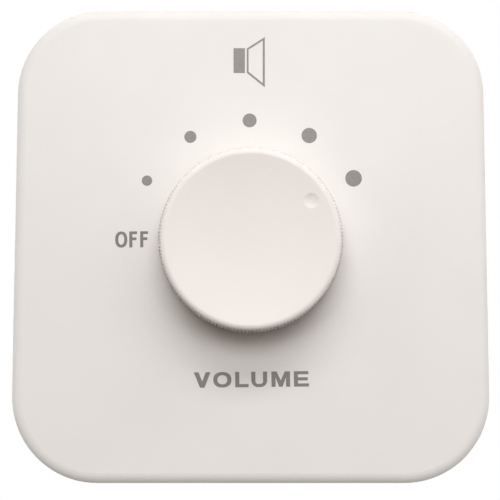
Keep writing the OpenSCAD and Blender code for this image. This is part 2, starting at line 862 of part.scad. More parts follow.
module winding() {
  color(copper) upright() translate([0, core_y, coil_z0]) linear_extrude(coil_z1 - coil_z0) difference() {
    round_rect(2 * coil_half.x, 2 * coil_half.y, wind_t);
    square(2 * tube_half, center = true);
  }
}

module winding_tape() {
  inner = coil_half + [1, 1] * snug;
  color(tape_yellow) upright() translate([0, core_y, coil_z0])
    linear_extrude(coil_z1 - coil_z0) difference() {
      round_rect(2 * tape_half.x, 2 * tape_half.y, wind_t + tape_t + snug);
      round_rect(2 * inner.x, 2 * inner.y, wind_t + snug);
    }
}

module bobbin_pins() {
  color(steel) upright()
    for (x = tap_pin_x())
      translate([x, tap_pin_y, tap_pin_z]) cylinder(h = bobbin_z0 + bobbin_flange - tap_pin_z, r = tap_pin_r);
}

// Steel strap round the back of the core, with an ear each side for its screw
module core_strap() {
  outer_w = core_w + 2 * strap_t;
  color(steel) upright() translate([0, core_y, 0]) {
    translate([-outer_w / 2, -strap_w / 2, core_z0 - strap_t]) cube([outer_w, strap_w, strap_t]);
    for (side = [0, 1])
      mirror([side, 0, 0]) difference() {
        union() {
          translate([core_w / 2, -strap_w / 2, core_z0 - strap_t])
            cube([strap_t, strap_w, strap_t - core_z0]);
          translate([core_w / 2, -strap_w / 2, -strap_t]) cube([strap_t + ear_l, strap_w, strap_t]);
        }
        translate([ear_x, 0, -strap_t - past]) cylinder(h = strap_t + 2 * past, r = screw_r + loose);
      }
  }
}

module strap_screws() {
  color(steel) upright()
    for (x = [-1, 1])
      translate([x * ear_x, core_y, -strap_t]) pan_screw(strap_t + frame_t + screw_past);
}

// Circuit board on the frame's posts
module terminal_board() {
  color(board_green) upright() translate([0, board_y, board_z0]) linear_extrude(board_t) difference() {
    square([board_w, board_h], center = true);
    for (x = [-1, 1])
      translate([x * board_post_x, 0]) circle(screw_r + loose);
    for (x = way_x)
      translate([x, cage_y - board_y]) circle(pin_leg_r + snug);
  }
}

module board_screws() {
  color(steel) upright()
    for (x = [-1, 1])
      translate([x * board_post_x, board_y, board_z0]) pan_screw(board_t + post_l + frame_t / 2);
}

// Terminal housing: wires go in from the top, screws from the back
module terminal_housing() {
  color(block_green) upright() difference() {
    translate([-block_w / 2, block_y - block_d / 2, block_z0]) cube([block_w, block_d, block_h]);
    for (x = way_x) {
      translate([x - cave.x / 2, block_y + block_d / 2 - cave.y, cave_z - cave.z / 2])
        cube(cave + [0, past, 0]);
      translate([x, cage_y, block_z0 - past])
        cylinder(h = cave_z - block_z0 + past, r = clamp_head_r + loose / 2);
      translate([x, cage_y, cave_z]) cylinder(h = block_h, r = pin_leg_r + snug);
    }
  }
}

// Wire cage with a soldered leg, one in each cavity
module terminal_clamps() {
  leg_z = (cage.y - cage_wall) / 2;
  color(brass) upright()
    for (x = way_x)
      translate([x, cage_y, cave_z]) difference() {
        union() {
          rotate([90, 0, 0]) linear_extrude(cage_l, center = true) difference() {
            square(cage, center = true);
            square(cage - [1, 1] * 2 * cage_wall, center = true);
          }
          translate([0, 0, leg_z]) cylinder(h = pin_leg_z - cave_z - leg_z, r = pin_leg_r);
        }
        translate([0, 0, -cage.y]) cylinder(h = cage.y, r = clamp_screw_r + snug);
      }
}

// Slotted clamping screws
module terminal_screws() {
  color(steel) upright()
    for (x = way_x)
      translate([x, cage_y, clamp_head_z]) {
        cylinder(h = cave_z - clamp_head_z, r = clamp_screw_r);
        difference() {
          cylinder(h = clamp_head_t, r = clamp_head_r);
          cube([3 * clamp_head_r, drive_w, 2 * drive_t], center = true);
        }
      }
}

// One lead from each tap pin up to its contact's tail
module tap_leads() {
  color(lead_red) upright()
    for (k = [0:steps])
      let (
        pin = [tap_pin_x()[k + 1], tap_pin_y, tap_pin_z],
        spot = around(contact_angles[k], tail_r),
        tail = [spot.x, spot.y, tail_z]
      )
        lead([pin, pin - [0, 0, lead_back], tail - [0, 0, 1.5 * lead_back], tail]);
}

// Leads from the board: one to the common contact, and one down each side to the transformer's line pins
module line_leads() {
  color(lead_grey) upright() {
    pad = [0, pad_y, board_z0];
    spot = around(common_angle, tail_r);
    tail = [spot.x, spot.y, tail_z];
    lead([pad, pad - [0, 0, lead_back], tail - [0, 0, 1.5 * lead_back], tail]);
    for (side = [-1, 1])
      let (
        line_pad = [side * line_pad_x, pad_y, board_z0],
        line_pin = [side * tap_span / 2, tap_pin_y, tap_pin_z]
      )
        lead([line_pad, line_pad - [0, 0, 4 * lead_back], line_pin - [0, 0, 2 * lead_back], line_pin]);
  }
}

front_cover();
mounting_frame();
knob();
knob_clip();
switch_shaft();
retaining_ring();
switch_bush();
lock_washer();
bush_nut();
index_plate();
stop_pins();
detent_wheel();
detent_spring();
switch_studs();
spacer_tubes();
stud_nuts();
wafer_stator();
stator_contacts();
common_contact();
wafer_rotor();
rotor_contact();
core_e();
core_i();
bobbin();
winding();
winding_tape();
bobbin_pins();
core_strap();
strap_screws();
terminal_board();
board_screws();
terminal_housing();
terminal_clamps();
terminal_screws();
tap_leads();
line_leads();
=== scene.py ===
# Looks of the wall volume control: the ivory plate, knurled knob and printed legend in front,
# and the switch, transformer, terminals and leads behind.
import json
import math

import bmesh
import bpy
from mathutils import Matrix, Vector

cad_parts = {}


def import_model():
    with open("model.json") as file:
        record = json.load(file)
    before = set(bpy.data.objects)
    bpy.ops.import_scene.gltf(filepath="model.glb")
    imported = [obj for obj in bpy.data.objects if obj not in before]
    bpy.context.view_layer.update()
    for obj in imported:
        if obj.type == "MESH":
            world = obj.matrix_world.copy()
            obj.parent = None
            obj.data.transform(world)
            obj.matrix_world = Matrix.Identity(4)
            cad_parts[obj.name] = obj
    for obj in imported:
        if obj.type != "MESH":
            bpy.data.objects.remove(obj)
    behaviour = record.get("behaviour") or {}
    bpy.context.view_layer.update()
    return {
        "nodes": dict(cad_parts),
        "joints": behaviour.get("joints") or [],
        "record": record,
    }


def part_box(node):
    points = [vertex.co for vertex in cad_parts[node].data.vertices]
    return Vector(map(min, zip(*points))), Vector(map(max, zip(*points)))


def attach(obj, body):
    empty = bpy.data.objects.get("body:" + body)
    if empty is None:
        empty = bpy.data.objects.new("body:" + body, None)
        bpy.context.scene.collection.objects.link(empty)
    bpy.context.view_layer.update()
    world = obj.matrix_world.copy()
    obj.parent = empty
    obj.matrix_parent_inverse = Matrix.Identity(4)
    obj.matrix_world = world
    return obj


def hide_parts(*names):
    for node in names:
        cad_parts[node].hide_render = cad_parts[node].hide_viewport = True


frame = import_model()
scene = bpy.context.scene

MM = 0.001

# Places taken from the frame
face_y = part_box("front_cover")[0].y
knob_low, knob_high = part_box("knob")
axis = Vector(frame["joints"][0]["pos_m"])

# Camera, measured on the photograph
CAMERA_REACH = 170 * MM
CAMERA_SIDE = -0.12 * MM
CAMERA_DROP = 4.5 * MM
CAMERA_PITCH = math.radians(4.48)
LENS = 67.25
SENSOR = 36
SHIFT_UP = -0.112

# Knob
KNOB_TOP_R = 15.8 * MM
RIM_R = 1.2 * MM
DISH_DEPTH = 1.2 * MM
SKIRT_T = 2 * MM
FACE_T = 1.8 * MM
HUB_R = 5.5 * MM
BORE_R = 3.05 * MM
RIB_T = 1.2
RIB_LIFT = 2
RIB_SUNK = 0.3
RIB_ROOF_SUNK = 0.2
BASE_EDGE = 0.15 * MM
KNURL_TEETH = 160
KNURL_DEPTH = 0.3 * MM
# Share of the knurl's depth at angles round the rim, in degrees from the wall
KNURL_SHARES = ((0, 1.0), (12, 0.7), (30, 0.3), (55, 0.15), (80, 0.0))
# Depth of the knurl at even steps across one tooth
TOOTH_SHAPE = (0.0, 0.0, 0.3, 1.0, 0.3, 0.0)
DIMPLE_R = 1.3 * MM
DIMPLE_DEPTH = 0.2 * MM
DIMPLE_REACH = 12.3 * MM
DIMPLE_ANGLE = math.radians(58)

# Lamps, each a softbox seen from the plate at a height and a side, with its half height and half width,
# all in degrees, then its distance, its power and, for the fill, its colour
FRONT_LAMPS = (
    ("front", 22, 0, 10, 20, 1.2, 8.2),
    ("high", 48, 0, 7, 20, 1.2, 7.2),
    ("right_low", 12, 45, 12, 15, 0.4, 0.155),
    ("right_high", 45, 45, 9, 15, 0.4, 0.21),
    ("left_high", 48, -60, 12, 15, 1.2, 0.65),
    ("side_right", 0, 75, 12, 15, 1.2, 1.2),
    ("side_left", 2, -68, 12, 18, 1.2, 1.7),
)
REAR_LAMPS = (
    ("rear_right", 35, 145, 14, 18, 1.2, 8.0),
    ("rear_left", 25, 215, 12, 16, 1.2, 4.5),
)
FILL_LAMP = ("fill", 2, 0, 10, 14, 1.2, 0.7, (1.0, 0.52, 0.25))
AMBIENT = (0.02, 0.012, 0.006)
FLOOR_Z = -0.11
FLOOR_R = 0.27

# Switch, transformer and terminals behind the plate, in millimetres with x right, y up the wall
# and z out of it
AXIS_RISE = 0.4
TAIL_R = 11.8
TAIL_Z = -16.6
TAP_ANGLES = [195 + 30 * k for k in range(6)]
COMMON_ANGLE = 90
PIN_X = [-10.2 + 20.4 * k / 7 for k in range(8)]
PIN_Y = -16.1
PIN_Z = -29.2
FLANGE_Z = -24.7
PAD_Y = 16.9
PAD_X = 12
BOARD_BACK = -8
BOARD_FRONT = -6.4
WAY_X = (-7.5, -2.5, 2.5, 7.5)
WAY_Y = 23.7
LEAD_R = 0.6
# How far behind its two ends a lead's guide points lie
TAP_REACH = (5, 7.5)
LINE_REACH = (20, 10)
CORE_Y = -25
CORE_HALF_W = 16.45
CORE_BACK = -29.9
CORE_FRONT = -0.4
CORE_SEAM = -5.4
LEG_W = 5
PLATE_T = 0.5
PLATE_GAP = 0.08
STACK = 9
STRAP_W = 8
EAR_X = 20.95
EAR_END = 24.45
BOARD_SCREW = (16.6, 22.1)
STUD_X = 14.2
STUD_BACK = -14.7
COIL_HALF = (10.6, 10.1)
COIL_ENDS = (-23.65, -6.65)

# CAD nodes that only need softer edges, with the width of the rounding in millimetres
SOFTENED = (
    ("terminal_housing", 0.25), ("bobbin", 0.15), ("index_plate", 0.12),
    ("wafer_stator", 0.1), ("stator_contacts", 0.06), ("common_contact", 0.06), ("rotor_contact", 0.06),
    ("stud_nuts", 0.2), ("terminal_screws", 0.1), ("terminal_board", 0.08),
)
SHARP_EDGE = 40

# Legend, in the plane of the plate's face and measured from the knob's axis
INK_T = 0.04 * MM
INK_SUNK = 0.015 * MM
DOT_RING = 21.8 * MM
DOT_STEP = math.radians(30)
DOT_SIZES = [size * MM for size in (1.91, 2.23, 2.57, 2.83, 3.03)]
DOT_CENTRE = Vector((0.06, 0.18)) * MM
DOT_GREY = 0.197
LEGEND_TURN = math.radians(0.65)
# Loudspeaker sign in millimetres: its box, its cone and the hollow in the cone
LOUDSPEAKER = (
    [(-3.16, 30.8), (-1.05, 30.8), (-1.05, 35.45), (-3.16, 35.45)],
    [(-0.72, 30.85), (2.62, 28.12), (2.62, 37.55), (-0.72, 35.38)],
    [(-0.38, 31.05), (2.23, 28.9), (2.23, 36.88), (-0.38, 35.18)],
)
LOUDSPEAKER_GREY = 0.2

# Part of a noise texture's range over which colour and gloss change
NOISE_SPAN = (0.3, 0.7)
# Length of one band of the wave texture at scale 1
BAND_LENGTH = math.pi / 10


def arc(centre, radius, start, end, count):
    """Points along an arc, with its ends, from angle start to angle end."""
    return [
        (
            centre[0] + radius * math.cos(start + (end - start) * i / count),
            centre[1] + radius * math.sin(start + (end - start) * i / count),
        )
        for i in range(count + 1)
    ]


class Look:
    """Material in the making: a Principled shader and the textures that drive it, sized in millimetres."""

    def __init__(self, name, colour, roughness, metallic=0.0, **constants):
        self.material = bpy.data.materials.new(name)
        self.material.use_nodes = True
        self.tree = self.material.node_tree
        self.shader = self.tree.nodes["Principled BSDF"]
        self.set("Base Color", (*colour, 1))
        self.set("Roughness", roughness)
        self.set("Metallic", metallic)
        for socket, value in constants.items():
            self.set(socket.replace("_", " "), value)
        self.place = self.add("ShaderNodeTexCoord").outputs["Object"]
        self.normal = None

    def set(self, socket, value):
        self.shader.inputs[socket].default_value = value

    def add(self, kind, **settings):
        node = self.tree.nodes.new(kind)
        for name, value in settings.items():
            setattr(node, name, value)
        return node

    def link(self, source, target):
        self.tree.links.new(source, target)

    def stretched(self, stretch):
        """Object coordinates, drawn out along the axes with the smaller numbers."""
        mapping = self.add("ShaderNodeMapping")
        mapping.inputs["Scale"].default_value = stretch
        self.link(self.place, mapping.inputs["Vector"])
        return mapping.outputs["Vector"]

    def noise(self, size, detail, stretch=(1, 1, 1)):
        """Cloudy noise of that size."""
        texture = self.add("ShaderNodeTexNoise")
        texture.inputs["Scale"].default_value = 1 / (size * MM)
        texture.inputs["Detail"].default_value = detail
        self.link(self.stretched(stretch), texture.inputs["Vector"])
        return texture.outputs[0]

    def bands(self, pitch, direction):
        """Even waves of that pitch along one axis."""
        texture = self.add("ShaderNodeTexWave", wave_type="BANDS", bands_direction=direction)
        texture.inputs["Scale"].default_value = BAND_LENGTH / (pitch * MM)
        self.link(self.place, texture.inputs["Vector"])
        return texture.outputs["Fac"]

    def between(self, factor, low, high, start, end):
        """Number that goes from low to high as factor goes from start to end."""
        span = self.add("ShaderNodeMapRange")
        for name, value in (("From Min", start), ("From Max", end), ("To Min", low), ("To Max", high)):
            span.inputs[name].default_value = value
        self.link(factor, span.inputs["Value"])
        return span.outputs["Result"]

    def tint(self, factor, low, high):
        """Base colour that goes from low to high with factor."""
        ramp = self.add("ShaderNodeValToRGB")
        for element, place, colour in zip(ramp.color_ramp.elements, NOISE_SPAN, (low, high)):
            element.position = place
            element.color = (*colour, 1)
        self.link(factor, ramp.inputs["Fac"])
        self.link(ramp.outputs["Color"], self.shader.inputs["Base Color"])
        return self

    def gloss(self, factor, low, high):
        """Roughness that goes from low to high with factor."""
        self.link(self.between(factor, low, high, *NOISE_SPAN), self.shader.inputs["Roughness"])
        return self

    def relief(self, height, depth):
        """Bump of that depth, added to any bump set before."""
        bump = self.add("ShaderNodeBump")
        bump.inputs["Strength"].default_value = 1.0
        bump.inputs["Distance"].default_value = depth * MM
        self.link(height, bump.inputs["Height"])
        if self.normal:
            self.link(self.normal, bump.inputs["Normal"])
        self.normal = bump.outputs["Normal"]
        self.link(self.normal, self.shader.inputs["Normal"])
        return self


def shade(colour, factor):
    """Lighter or darker colour."""
    return tuple(c * factor for c in colour)


def ivory_plastic(name, ivory, sheen):
    """Moulded ivory plastic with a faint cloud in its colour and a fine skin."""
    look = Look(name, ivory, 0.42, Specular_IOR_Level=sheen)
    look.tint(look.noise(14, 4), shade(ivory, 0.985), shade(ivory, 1.01))
    look.gloss(look.noise(6, 5), 0.38, 0.48)
    return look.relief(look.noise(0.5, 2), 0.002).material


def frame_plastic():
    """Matt white moulding with a spark-eroded skin."""
    white = (0.72, 0.72, 0.70)
    look = Look("frame_plastic", white, 0.6)
    look.tint(look.noise(9, 4), shade(white, 0.94), shade(white, 1.03))
    look.gloss(look.noise(2, 4), 0.52, 0.7)
    return look.relief(look.noise(0.35, 3), 0.012).material


def zinc_steel():
    """Zinc plated steel with faint rolling lines and a cloudy blue and straw passivation."""
    look = Look("steel", (0.52, 0.53, 0.55), 0.36, 1.0)
    look.tint(look.noise(5, 2), (0.48, 0.50, 0.54), (0.57, 0.56, 0.53))
    look.gloss(look.noise(2.5, 4, (1, 5, 1)), 0.3, 0.42)
    return look.relief(look.noise(0.3, 2, (1, 8, 1)), 0.001).material


def dark_steel():
    """Oiled spring steel, darker and lighter in patches."""
    look = Look("dark_steel", (0.20, 0.205, 0.215), 0.35, 1.0)
    look.tint(look.noise(1.5, 5), (0.13, 0.13, 0.14), (0.27, 0.275, 0.285))
    look.gloss(look.noise(0.8, 4), 0.25, 0.5)
    return look.relief(look.noise(0.3, 3), 0.004).material


def core_steel():
    """Varnished core plates, dark and a little brown in patches."""
    look = Look("core_steel", (0.16, 0.15, 0.145), 0.45, 0.7)
    look.tint(look.noise(1.2, 6), (0.09, 0.075, 0.065), (0.22, 0.205, 0.195))
    look.gloss(look.noise(2.5, 4), 0.3, 0.6)
    return look.relief(look.noise(0.4, 4), 0.01).material


def brass():
    """Stamped and turned brass, dulled in patches."""
    look = Look("brass", (0.72, 0.52, 0.22), 0.3, 1.0)
    look.tint(look.noise(1.8, 5), (0.55, 0.38, 0.16), (0.78, 0.58, 0.27))
    look.gloss(look.noise(1.0, 5), 0.2, 0.45)
    return look.relief(look.noise(0.2, 2), 0.003).material


def copper():
    """Enamelled copper wire, wound layer on layer."""
    look = Look("copper", (0.50, 0.20, 0.09), 0.3, 0.8, Coat_Weight=0.6, Coat_Roughness=0.15)
    look.tint(look.noise(2, 3), (0.42, 0.15, 0.06), (0.58, 0.25, 0.12))
    return look.relief(look.bands(0.35, "Y"), 0.08).material


def phenolic():
    """Brown paper laminate, with its fibres and a resin gloss."""
    look = Look("phenolic", (0.20, 0.10, 0.045), 0.4)
    look.tint(look.noise(0.8, 6, (1, 3, 0.3)), (0.13, 0.06, 0.028), (0.28, 0.15, 0.07))
    look.gloss(look.noise(1.5, 4), 0.3, 0.5)
    return look.relief(look.noise(0.3, 4, (1, 1, 0.3)), 0.008).material


def black_plastic():
    """Glass-filled black moulding with pale flow marks."""
    look = Look("black_plastic", (0.02, 0.02, 0.022), 0.45)
    look.tint(look.noise(1.6, 6, (0.4, 1, 1)), (0.012, 0.012, 0.013), (0.035, 0.035, 0.038))
    look.gloss(look.noise(0.9, 4), 0.35, 0.6)
    return look.relief(look.noise(0.25, 3), 0.01).material


def tape():
    """Yellow polyester tape, glossy and a little puckered."""
    look = Look("tape", (0.78, 0.50, 0.06), 0.22, Coat_Weight=0.5, Coat_Roughness=0.1)
    look.tint(look.noise(5, 3, (1, 0.3, 1)), (0.68, 0.40, 0.04), (0.84, 0.57, 0.09))
    look.gloss(look.noise(2, 3), 0.18, 0.32)
    return look.relief(look.noise(2.2, 3, (1, 0.25, 1)), 0.05).material


def board():
    """Green solder mask over woven glass, bare and straw coloured at the cut edges."""
    look = Look("board", (0.02, 0.16, 0.06), 0.3)
    mask = look.add("ShaderNodeValToRGB")
    mask.color_ramp.elements[0].color = (0.012, 0.12, 0.045, 1)
    mask.color_ramp.elements[1].color = (0.03, 0.20, 0.08, 1)
    look.link(look.noise(2.5, 4), mask.inputs["Fac"])
    facing = look.add("ShaderNodeSeparateXYZ")
    look.link(look.add("ShaderNodeNewGeometry").outputs["Normal"], facing.inputs["Vector"])
    flat = look.add("ShaderNodeMath", operation="ABSOLUTE")
    look.link(facing.outputs["Y"], flat.inputs[0])
    blend = look.add("ShaderNodeMix", data_type="RGBA")
    look.link(look.between(flat.outputs[0], 0, 1, 0.4, 0.6), blend.inputs["Factor"])
    blend.inputs["A"].default_value = (0.45, 0.36, 0.16, 1)
    look.link(mask.outputs["Color"], blend.inputs["B"])
    look.link(blend.outputs["Result"], look.shader.inputs["Base Color"])
    look.gloss(look.noise(1.5, 4), 0.22, 0.4)
    return look.relief(look.bands(0.5, "X"), 0.004).relief(look.bands(0.5, "Z"), 0.004).material


def terminal_plastic():
    """Green moulded terminal block with a fine matt skin."""
    green = (0.035, 0.20, 0.085)
    look = Look("terminal_plastic", green, 0.5)
    look.tint(look.noise(3, 5), shade(green, 0.85), shade(green, 1.15))
    look.gloss(look.noise(1.2, 4), 0.42, 0.6)
    return look.relief(look.noise(0.3, 3), 0.01).material


def insulation(name, colour):
    """Soft wire insulation with a slight sheen and scuffs."""
    look = Look(name, colour, 0.4, Subsurface_Weight=0.05, Subsurface_Scale=0.5 * MM)
    look.tint(look.noise(1.5, 5), shade(colour, 0.8), shade(colour, 1.15))
    look.gloss(look.noise(0.8, 4), 0.3, 0.5)
    return look.relief(look.noise(0.4, 3), 0.01).material


def ink(name, value):
    """Grey pad-printed ink, a little uneven in its cover."""
    grey = (value, value * 0.955, value * 0.925)
    look = Look(name, grey, 0.5)
    look.tint(look.noise(0.35, 4), shade(grey, 0.9), shade(grey, 1.12))
    look.gloss(look.noise(0.5, 3), 0.42, 0.6)
    return look.relief(look.noise(0.2, 3), 0.003).material


def solder():
    """Bright tin solder, dulled in patches."""
    look = Look("solder", (0.60, 0.60, 0.61), 0.25, 1.0)
    look.tint(look.noise(0.8, 4), (0.48, 0.48, 0.49), (0.68, 0.68, 0.69))
    look.gloss(look.noise(0.5, 4), 0.18, 0.4)
    return look.relief(look.noise(0.4, 3), 0.01).material


def track():
    """Copper track under green solder mask."""
    look = Look("track", (0.05, 0.26, 0.10), 0.28)
    look.tint(look.noise(1.5, 4), (0.035, 0.21, 0.075), (0.065, 0.30, 0.12))
    look.gloss(look.noise(1.0, 4), 0.2, 0.36)
    return look.relief(look.noise(0.3, 2), 0.004).material


def white_print():
    """White screen print, thin in places."""
    look = Look("white_print", (0.72, 0.73, 0.71), 0.55)
    look.tint(look.noise(0.3, 4), (0.55, 0.60, 0.55), (0.78, 0.79, 0.77))
    look.gloss(look.noise(0.4, 3), 0.45, 0.65)
    return look.relief(look.noise(0.15, 3), 0.004).material


finishes = {
    "solder": solder(),
    "track": track(),
    "white_print": white_print(),
    "ivory_plastic": ivory_plastic("ivory_plastic", (0.730, 0.716, 0.695), 0.25),
    "ivory_knob": ivory_plastic("ivory_knob", (0.790, 0.760, 0.727), 0.04),
    "frame_plastic": frame_plastic(),
    "steel": zinc_steel(),
    "dark_steel": dark_steel(),
    "core_steel": core_steel(),
    "brass": brass(),
    "copper": copper(),
    "phenolic": phenolic(),
    "black_plastic": black_plastic(),
    "tape": tape(),
    "board": board(),
    "terminal_plastic": terminal_plastic(),
    "lead_red": insulation("lead_red", (0.42, 0.02, 0.015)),
    "lead_grey": insulation("lead_grey", (0.20, 0.21, 0.23)),
}


def dress_nodes():
    """Gives every CAD node the finish of its slot in the record."""
    for part in frame["record"]["subparts"]:
        node = frame["nodes"][part["node"]]
        node.data.materials.clear()
        node.data.materials.append(finishes[part["material_slot"]])


def add_piece(name, mesh, body, finish, node=None, sharp=SHARP_EDGE):
    """Mesh in the frame's coordinates, as a piece that rides on a body and may stand for a CAD node."""
    piece = bpy.data.objects.new(name, mesh)
    scene.collection.objects.link(piece)
    mesh.shade_smooth()
    mesh.set_sharp_from_angle(angle=math.radians(sharp))
    mesh.materials.append(finish)
    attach(piece, body)
    if node:
        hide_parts(node)


def world(point):
    """Point drawn in millimetres with x right, y up the wall and z out of it, in the frame's coordinates."""
    return (point[0] * MM, -point[2] * MM, point[1] * MM)


class Shape:
    """Mesh in the making, from closed solids in millimetres with x right, y up the wall and z out of it."""

    def __init__(self):
        self.verts, self.faces = [], []

    def add(self, verts, faces):
        start = len(self.verts)
        self.verts += [world(vert) for vert in verts]
        self.faces += [tuple(start + i for i in face) for face in faces]
        return self

    def skin(self, rings):
        """Solid over a row of rings with the same number of points, closed by a face at each end."""
        count = len(rings[0])
        faces = [tuple(range(count)), tuple((len(rings) - 1) * count + k for k in range(count))]
        for i in range(len(rings) - 1):
            for k in range(count):
                a, b = i * count + k, i * count + (k + 1) % count
                faces.append((a, b, b + count, a + count))
        return self.add([vert for ring in rings for vert in ring], faces)

    def prism(self, outline, low, high, along="z"):
        """Outline in x and y between two heights, or in x and z for a prism along y."""
        place = {"z": lambda u, v, w: (u, v, w), "y": lambda u, v, w: (u, w, v)}[along]
        return self.skin([[place(u, v, w) for u, v in outline] for w in (low, high)])

    def lathe(self, profile, centre, out=(1, 0), along=(0, 1), sides=28):
        """Profile of (radius, height) turned round an axis along z, or drawn out to an ellipse."""
        angles = [2 * math.pi * k / sides for k in range(sides)]
        rings = []
        for r, h in profile:
            rings.append([
                (
                    centre[0] + r * (math.cos(a) * out[0] + math.sin(a) * along[0]),
                    centre[1] + r * (math.cos(a) * out[1] + math.sin(a) * along[1]),
                    centre[2] + h,
                )
                for a in angles
            ])
        return self.skin(rings)

    def sleeve(self, rings):
        """Hollow solid whose rings go up the outside and down the inside."""
        count = len(rings[0])
        faces = []
        for i in range(len(rings)):
            j = (i + 1) % len(rings)
            for k in range(count):
                m = (k + 1) % count
                faces.append((i * count + k, i * count + m, j * count + m, j * count + k))
        return self.add([vert for ring in rings for vert in ring], faces)

    def tube(self, path, radius, sides=14):
        """Round tube along a path."""
        path = [Vector(point) for point in path]
        last = len(path) - 1
        ways = [(path[min(i + 1, last)] - path[max(i - 1, 0)]).normalized() for i in range(last + 1)]
        angles = [2 * math.pi * k / sides for k in range(sides)]
        side = ways[0].orthogonal().normalized()
        rings = []
        for i, (point, way) in enumerate(zip(path, ways)):
            if i:
                side = ways[i - 1].rotation_difference(way) @ side
            up = way.cross(side)
            rings.append([tuple(point + radius * (math.cos(a) * side + math.sin(a) * up)) for a in angles])
        return self.skin(rings)

    def mesh(self, name):
        """Blender mesh of the solids, with its normals outwards."""
        mesh = bpy.data.meshes.new(name)
        mesh.from_pydata(self.verts, [], self.faces)
        work = bmesh.new()
        work.from_mesh(mesh)
        bmesh.ops.recalc_face_normals(work, faces=work.faces)
        work.to_mesh(mesh)
        work.free()
        return mesh


def modified(mesh, kind, **settings):
    """Mesh after one modifier."""
    holder = bpy.data.objects.new(mesh.name, mesh)
    scene.collection.objects.link(holder)
    modifier = holder.modifiers.new("work", kind)
    for name, value in settings.items():
        setattr(modifier, name, value)
    made = bpy.data.meshes.new_from_object(holder.evaluated_get(bpy.context.evaluated_depsgraph_get()))
    bpy.data.objects.remove(holder)
    return made


def bevelled(mesh, width):
    """Mesh with its sharp edges rounded and its flat faces kept flat to the light."""
    sharp = math.radians(SHARP_EDGE)
    made = modified(mesh, "BEVEL", width=width * MM, segments=2, limit_method="ANGLE", angle_limit=sharp)
    made.shade_smooth()
    made.set_sharp_from_angle(angle=sharp)
    return modified(made, "WEIGHTED_NORMAL", keep_sharp=True)


def carved(mesh, cutter):
    """Mesh with the cutter's solids taken out of it."""
    tool = bpy.data.objects.new("cutter", cutter)
    scene.collection.objects.link(tool)
    made = modified(mesh, "BOOLEAN", object=tool, operation="DIFFERENCE", solver="EXACT", use_self=True)
    bpy.data.objects.remove(tool)
    return made


def soften(node, width, cutter=None):
    """Copy of a CAD node with the cutter taken out of it and its edges rounded, that stands for the node."""
    same_place, same_plane = 0.001 * MM, math.radians(0.5)
    slot = next(part["material_slot"] for part in frame["record"]["subparts"] if part["node"] == node)
    body = next(name for name, nodes in frame["record"]["behaviour"]["bodies"].items() if node in nodes)
    mesh = frame["nodes"][node].data.copy()
    work = bmesh.new()
    work.from_mesh(mesh)
    bmesh.ops.remove_doubles(work, verts=work.verts, dist=same_place)
    bmesh.ops.dissolve_limit(work, angle_limit=same_plane, verts=work.verts, edges=work.edges)
    work.to_mesh(mesh)
    work.free()
    mesh.materials.clear()
    if cutter:
        mesh = carved(mesh, cutter)
    add_piece(node + "_soft", bevelled(mesh, width), body, finishes[slot], node)


def knurl_share(turn):
    """Share of the knurl's depth at an angle round the rim, in degrees from the wall."""
    for (a, low), (b, high) in zip(KNURL_SHARES, KNURL_SHARES[1:]):
        if turn <= b:
            return low + (high - low) * (turn - a) / (b - a)
    return 0.0


def knob_section():
    """Half section of the knob, from the bore round the outside to the middle of the face.

    Each point has its radius, its height and its share of the knurl's depth.
    """
    wall_rings, rim_rings, fine_rings, coarse_rings = 8, 20, 22, 8
    height = knob_high.y - knob_low.y
    base_r = (knob_high.x - knob_low.x) / 2
    taper = (base_r - KNOB_TOP_R) / height
    lean = math.atan(taper)
    rim_x = base_r - (RIM_R + (height - RIM_R) * math.sin(lean)) / math.cos(lean)
    dish_r = (rim_x**2 + DISH_DEPTH**2) / (2 * DISH_DEPTH)
    dish_slope = math.asin(rim_x / dish_r)
    roof = height - DISH_DEPTH - FACE_T

    section = [(0, roof, 0), (BORE_R, roof, 0), (BORE_R, 0, 0), (HUB_R, 0, 0), (HUB_R, roof, 0)]
    section += [(base_r - taper * roof - SKIRT_T, roof, 0), (base_r - SKIRT_T, 0, 0)]
    section += [(base_r - 2 * BASE_EDGE, 0, 0), (base_r - BASE_EDGE * 0.3, BASE_EDGE * 0.3, knurl_share(0))]
    wall_top = RIM_R * math.sin(lean) + height - RIM_R
    for i in range(1, wall_rings + 1):
        h = wall_top * i / wall_rings
        section.append((base_r - taper * h, h, knurl_share(0)))
    rim_turn = math.pi / 2 + dish_slope - lean
    rim = arc((rim_x, height - RIM_R), RIM_R, lean, lean + rim_turn, rim_rings)
    for i in range(1, rim_rings + 1):
        section.append((*rim[i], knurl_share(math.degrees(rim_turn) * i / rim_rings)))
    dish_edge_r, dish_edge_h = rim[-1]

    def dish(r):
        """Point of the dished face at a radius."""
        sag = math.sqrt(dish_r**2 - r**2) - math.sqrt(dish_r**2 - dish_edge_r**2)
        return (r, dish_edge_h - sag, 0)

    spread = 1.1 * DIMPLE_R
    fine_start, fine_end = DIMPLE_REACH + spread, DIMPLE_REACH - spread
    for i in range(fine_rings + 1):
        section.append(dish(fine_start + (fine_end - fine_start) * i / fine_rings))
    for i in range(1, coarse_rings):
        section.append(dish(fine_end * (1 - i / coarse_rings)))
    section.append(dish(0))
    return section


def dimple_sag(x, z):
    """Depth of the pointer dimple at a point of the face, measured from the knob's axis."""
    away = math.hypot(x - DIMPLE_REACH * math.sin(DIMPLE_ANGLE), z - DIMPLE_REACH * math.cos(DIMPLE_ANGLE))
    if away >= DIMPLE_R:
        return 0.0
    ball_r = (DIMPLE_R**2 + DIMPLE_DEPTH**2) / (2 * DIMPLE_DEPTH)
    return math.sqrt(ball_r**2 - away**2) - (ball_r - DIMPLE_DEPTH)


